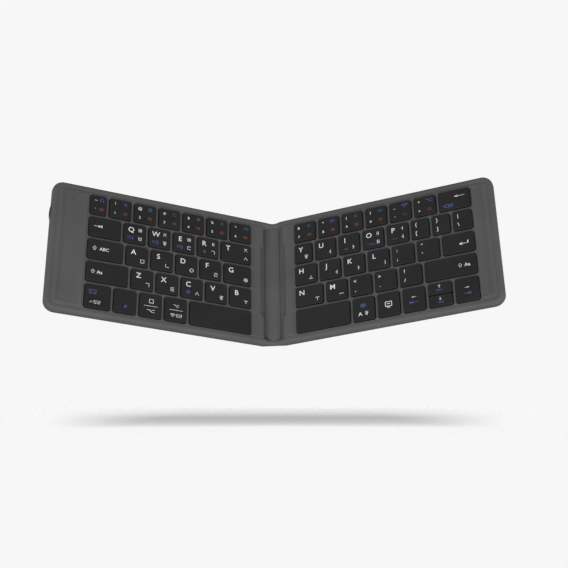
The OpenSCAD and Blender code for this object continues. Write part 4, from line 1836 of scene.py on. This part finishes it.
@dataclass
class Ribbon:
    """The ribbon cable's run into one half, which bends at the hinge."""

    half: Half
    source: str = "flex_cable"
    bends: int = 14
    start: float = 5.2 * MM
    finish: float = 9.3 * MM

    def make(self, materials: Materials) -> Iterator[Object]:
        """Cuts the run from the node's own mesh and blends it from the spine into the half.

        Args:
            materials: The materials by the name of their slot.

        Returns:
            Each finished piece in turn.
        """
        sign = self.half.sign
        run = copy_of(self.source, f"{self.half.word}_ribbon")
        with run.editing():
            slice_at((0, 0, 0), (sign, 0, 0), clear_inner=True, use_fill=True)
            for i in range(self.bends + 1):
                x = self.start + (self.finish - self.start) * i / self.bends
                slice_at((sign * x, 0, 0), (1, 0, 0))
        run.smooth(30)
        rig.replaces(run.obj, self.source)
        start, end = ((sign * x, 0, 0) for x in (self.start, self.finish))
        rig.blend(run.obj, "spine", self.half.body, start=start, end=end)
        dress(run.obj, materials, node_slots()[self.source])
        yield run.obj


@dataclass
class Scissors:
    """The scissor links of one half: a piece for each node of caps, which folds with them."""

    half: Half
    travel: float = 1.3 * MM

    def make(self, materials: Materials) -> Iterator[Object]:
        """Cuts each piece from the node's own mesh and squashes it as its caps go down.

        Args:
            materials: The materials by the name of their slot.

        Returns:
            Each finished piece in turn.
        """
        cells: dict[str, list[Cell]] = {}
        for cell in self.half.cells():
            if cell.key.name != "arrows":
                cells.setdefault(cell.key.node, []).append(cell)
        level = self.half.swing.inverted()
        source = f"{self.half.word}_scissors"
        for node, own in cells.items():
            links = copy_of(source, f"{node}_links")
            with links.editing():
                links.pick_points(lambda point: not under(own, level @ point))
                bpy.ops.mesh.delete(type="VERT")
            heights = [(level @ vertex.co).z for vertex in links.obj.data.vertices]
            low, high = min(heights), max(heights)
            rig.replaces(links.obj, source)
            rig.ride(links.obj, self.half.body)
            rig.squash(
                links.obj,
                f"press_{node}",
                axis=tuple(self.half.swing.to_3x3() @ Vector((0, 0, 1))),
                anchor=tuple(self.half.swing @ Vector((own[0].x, own[0].y, low))),
                keep=1 - self.travel / (high - low),
            )
            dress(links.obj, materials, node_slots()[source])
            yield links.obj


# ---- Studio --------------------------------------------------------------------------------


@dataclass(frozen=True)
class Lamp:
    """A square lamp that looks at the keyboard from a direction; its power is in watts."""

    name: str
    direction: Triple
    power: float
    distance: float = 1.2
    size: float = 0.5

    def hang(self) -> None:
        """Adds the lamp to the scene."""
        data = bpy.data.lights.new(self.name, "AREA")
        data.size, data.energy = self.size, self.power
        direction = Vector(self.direction)
        turn = direction.to_track_quat("Z", "Y").to_matrix().to_4x4()
        place = Matrix.Translation(direction.normalized() * self.distance)
        place_new(self.name, data).matrix_world = place @ turn


LAMPS = (
    Lamp("front", (0, -1, 0.7), 9.8),
    Lamp("left", (-1, 0.1, 1), 6),
    Lamp("right", (1, 0.1, 1), 2.4),
    Lamp("corner", (1, -0.8, 0.6), 5.1),
)


@dataclass
class Studio:
    """The camera, the lamps, the plain surroundings and the floor."""

    focal_px: float = 1231.278
    picture: float = 568
    elevation: float = 61.7054
    yaw: float = 5.5661
    roll: float = -7.3977
    aim: Pair = (7.1556 * MM, 0.3122 * MM)
    distance: float = 868.918 * MM
    background: str = "#f7f7f7"
    # What the surroundings give to matt surfaces
    fill: float = 0.1
    floor_size: float = 0.56
    floor_middle: Triple = (-0.6 * MM, -117.8 * MM, -221.5 * MM)
    floor_dip: float = -3.6
    floor_glow: float = 0.4269
    # From the middle, where the floor starts to fade out and where it is gone
    floor_fades: tuple[tuple[str, float, float], ...] = (("X", 0.21, 0.27), ("Y", 0.18, 0.27))
    paper: tuple[str, str] = ("#f6f6f6", "#f8f8f8")
    paper_tooth: float = 0.1 * MM
    paper_span: Pair = (0.3, 0.7)
    sun_lean: float = 62.0
    sun_power: float = 3.6
    sun_angle: float = 0.35

    def axes(self) -> tuple[Vector, Vector, Vector]:
        """The camera's right, up and backward directions in the frame.

        Returns:
            Right, up and backward, each of length 1.
        """
        e, y, r = (math.radians(v) for v in (self.elevation, self.yaw, self.roll))
        back = Vector((math.sin(y) * math.cos(e), -math.cos(y) * math.cos(e), math.sin(e)))
        level = (-back).cross(Vector((0, 0, 1))).normalized()
        rise = level.cross(-back)
        right = math.cos(r) * level + math.sin(r) * rise
        up = -math.sin(r) * level + math.cos(r) * rise
        return right, up, back

    def camera(self) -> None:
        """Makes the camera."""
        right, up, back = self.axes()
        data = bpy.data.cameras.new("camera")
        data.sensor_width = 36
        data.lens = self.focal_px / self.picture * data.sensor_width
        data.clip_start, data.clip_end = 0.05, 20
        camera = place_new("camera", data)
        place = back * self.distance + right * self.aim[0] + up * self.aim[1]
        turn = Matrix((right, up, back)).transposed().to_4x4()
        camera.matrix_world = Matrix.Translation(place) @ turn
        bpy.context.scene.camera = camera

    def light(self) -> None:
        """Sets the lamps and the surroundings, which metal and glass show as the camera does."""
        for lamp in LAMPS:
            lamp.hang()
        world = bpy.data.worlds.new("surroundings")
        bpy.context.scene.world = world
        nodes = Nodes(world, "ShaderNodeOutputWorld")
        shown = nodes.add("ShaderNodeBackground", {}, {"Color": linear(self.background)})
        lit = nodes.add(
            "ShaderNodeBackground", {}, {"Color": (1, 1, 1, 1), "Strength": self.fill}
        )
        inputs = {0: nodes.seen(), 1: lit.outputs[0], 2: shown.outputs[0]}
        nodes.finish(nodes.add("ShaderNodeMixShader", {}, inputs).outputs[0])

    def floor_material(self) -> Material:
        """Pale paper, as bright as the background outside the shadow, that fades at its rim.

        Returns:
            The material.
        """
        material = bpy.data.materials.new("pale_paper")
        nodes = Nodes(material, "ShaderNodeOutputMaterial")
        place = nodes.add("ShaderNodeTexCoord", {}, {}).outputs["Object"]
        parts = nodes.add("ShaderNodeSeparateXYZ", {}, {"Vector": place})
        shares = []
        for axis, near, far in self.floor_fades:
            span = {"From Min": near, "From Max": far, "To Min": 1.0, "To Max": 0.0}
            size = nodes.add(
                "ShaderNodeMath", {"operation": "ABSOLUTE"}, {0: parts.outputs[axis]}
            )
            fade = nodes.add(
                "ShaderNodeMapRange",
                {"interpolation_type": "SMOOTHSTEP"},
                {"Value": size.outputs[0], **span},
            )
            shares.append(fade.outputs["Result"])
        back = nodes.add("ShaderNodeNewGeometry", {}, {}).outputs["Backfacing"]
        front = nodes.add("ShaderNodeMath", {"operation": "SUBTRACT"}, {0: 1.0, 1: back})
        shares += [nodes.seen(), front.outputs[0]]
        factor = shares[0]
        for share in shares[1:]:
            inputs = {0: factor, 1: share}
            factor = nodes.add("ShaderNodeMath", {"operation": "MULTIPLY"}, inputs).outputs[0]
        tint = nodes.patches(place, self.paper_tooth, 2.0, self.paper, self.paper_span)
        glow = nodes.add("ShaderNodeEmission", {}, {"Color": tint, "Strength": self.floor_glow})
        matt = nodes.add("ShaderNodeBsdfDiffuse", {}, {"Color": tint})
        paper = nodes.add("ShaderNodeAddShader", {}, {0: glow.outputs[0], 1: matt.outputs[0]})
        clear = nodes.add("ShaderNodeBsdfTransparent", {}, {})
        inputs = {0: factor, 1: clear.outputs[0], 2: paper.outputs[0]}
        nodes.finish(nodes.add("ShaderNodeMixShader", {}, inputs).outputs[0])
        return material

    def floor(self) -> None:
        """Lays the pale floor below the keyboard and gives it a sun, which casts the shadow."""
        right, up, back = self.axes()
        dip, lean = math.radians(self.floor_dip), math.radians(self.sun_lean)
        normal = math.cos(dip) * up + math.sin(dip) * back
        bpy.ops.mesh.primitive_plane_add(size=1)
        floor = bpy.context.active_object
        floor.name = "floor"
        floor.scale = (self.floor_size, self.floor_size, 1)
        bpy.ops.object.transform_apply(location=False, rotation=False, scale=True)
        middle = sum((a * v for a, v in zip((right, up, back), self.floor_middle)), Vector())
        turn = Matrix((right, normal.cross(right), normal)).transposed().to_4x4()
        floor.matrix_world = Matrix.Translation(middle) @ turn
        floor.data.materials.append(self.floor_material())
        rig.stage(floor)

        data = bpy.data.lights.new("sun", "SUN")
        data.energy, data.angle = self.sun_power, self.sun_angle
        sun = place_new("sun", data)
        toward = math.cos(lean) * up + math.sin(lean) * back
        sun.matrix_world = toward.to_track_quat("Z", "Y").to_matrix().to_4x4()
        # The sun lights the floor alone, and the lamps light everything else
        for lamp in [o for o in bpy.context.scene.objects if o.type == "LIGHT"]:
            group = bpy.data.collections.new(f"{lamp.name}_lights")
            group.objects.link(floor)
            lamp.light_linking.receiver_collection = group
            if lamp != sun:
                group.collection_objects[0].light_linking.link_state = "EXCLUDE"

    def build(self) -> None:
        """Makes the whole studio."""
        self.camera()
        self.light()
        self.floor()
        bpy.context.scene.view_settings.view_transform = "Standard"


# ---- Assembly ------------------------------------------------------------------------------


def dress_nodes(materials: Materials) -> None:
    """Gives every CAD node the material of its slot.

    Args:
        materials: The materials by the name of their slot.
    """
    slots = node_slots()
    for name, obj in frame["nodes"].items():
        material = materials[slots[name]]
        if obj.material_slots:
            for place in obj.material_slots:
                place.material = material
        else:
            obj.data.materials.append(material)


def main() -> None:
    """Builds, dresses and reports every piece, half by half, and then the spine."""
    logging.basicConfig(level=logging.INFO, format="%(message)s")
    materials = {slot: finish.material() for slot, finish in FINISHES.items()}
    materials |= {ink.value.name: ink.value.material() for ink in Ink}
    dress_nodes(materials)

    assemblies = []
    for half in (LEFT, RIGHT):
        assemblies += [
            UpperSkin(half),
            LowerSkin(half),
            Keycaps(half),
            Legends(half),
            Ribbon(half),
            Scissors(half),
        ]
    for assembly in (*assemblies, Spine()):
        for piece in assembly.make(materials):
            LOG.info("%s: %d faces", piece.name, len(piece.data.polygons))

    Studio().build()
    boxes = {"cad": [list(p) for p in CAD_BOX], "visual": [list(p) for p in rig.bounds()]}
    with open("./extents.json", "w") as out:
        json.dump(boxes, out)


if __name__ == "__main__":
    main()
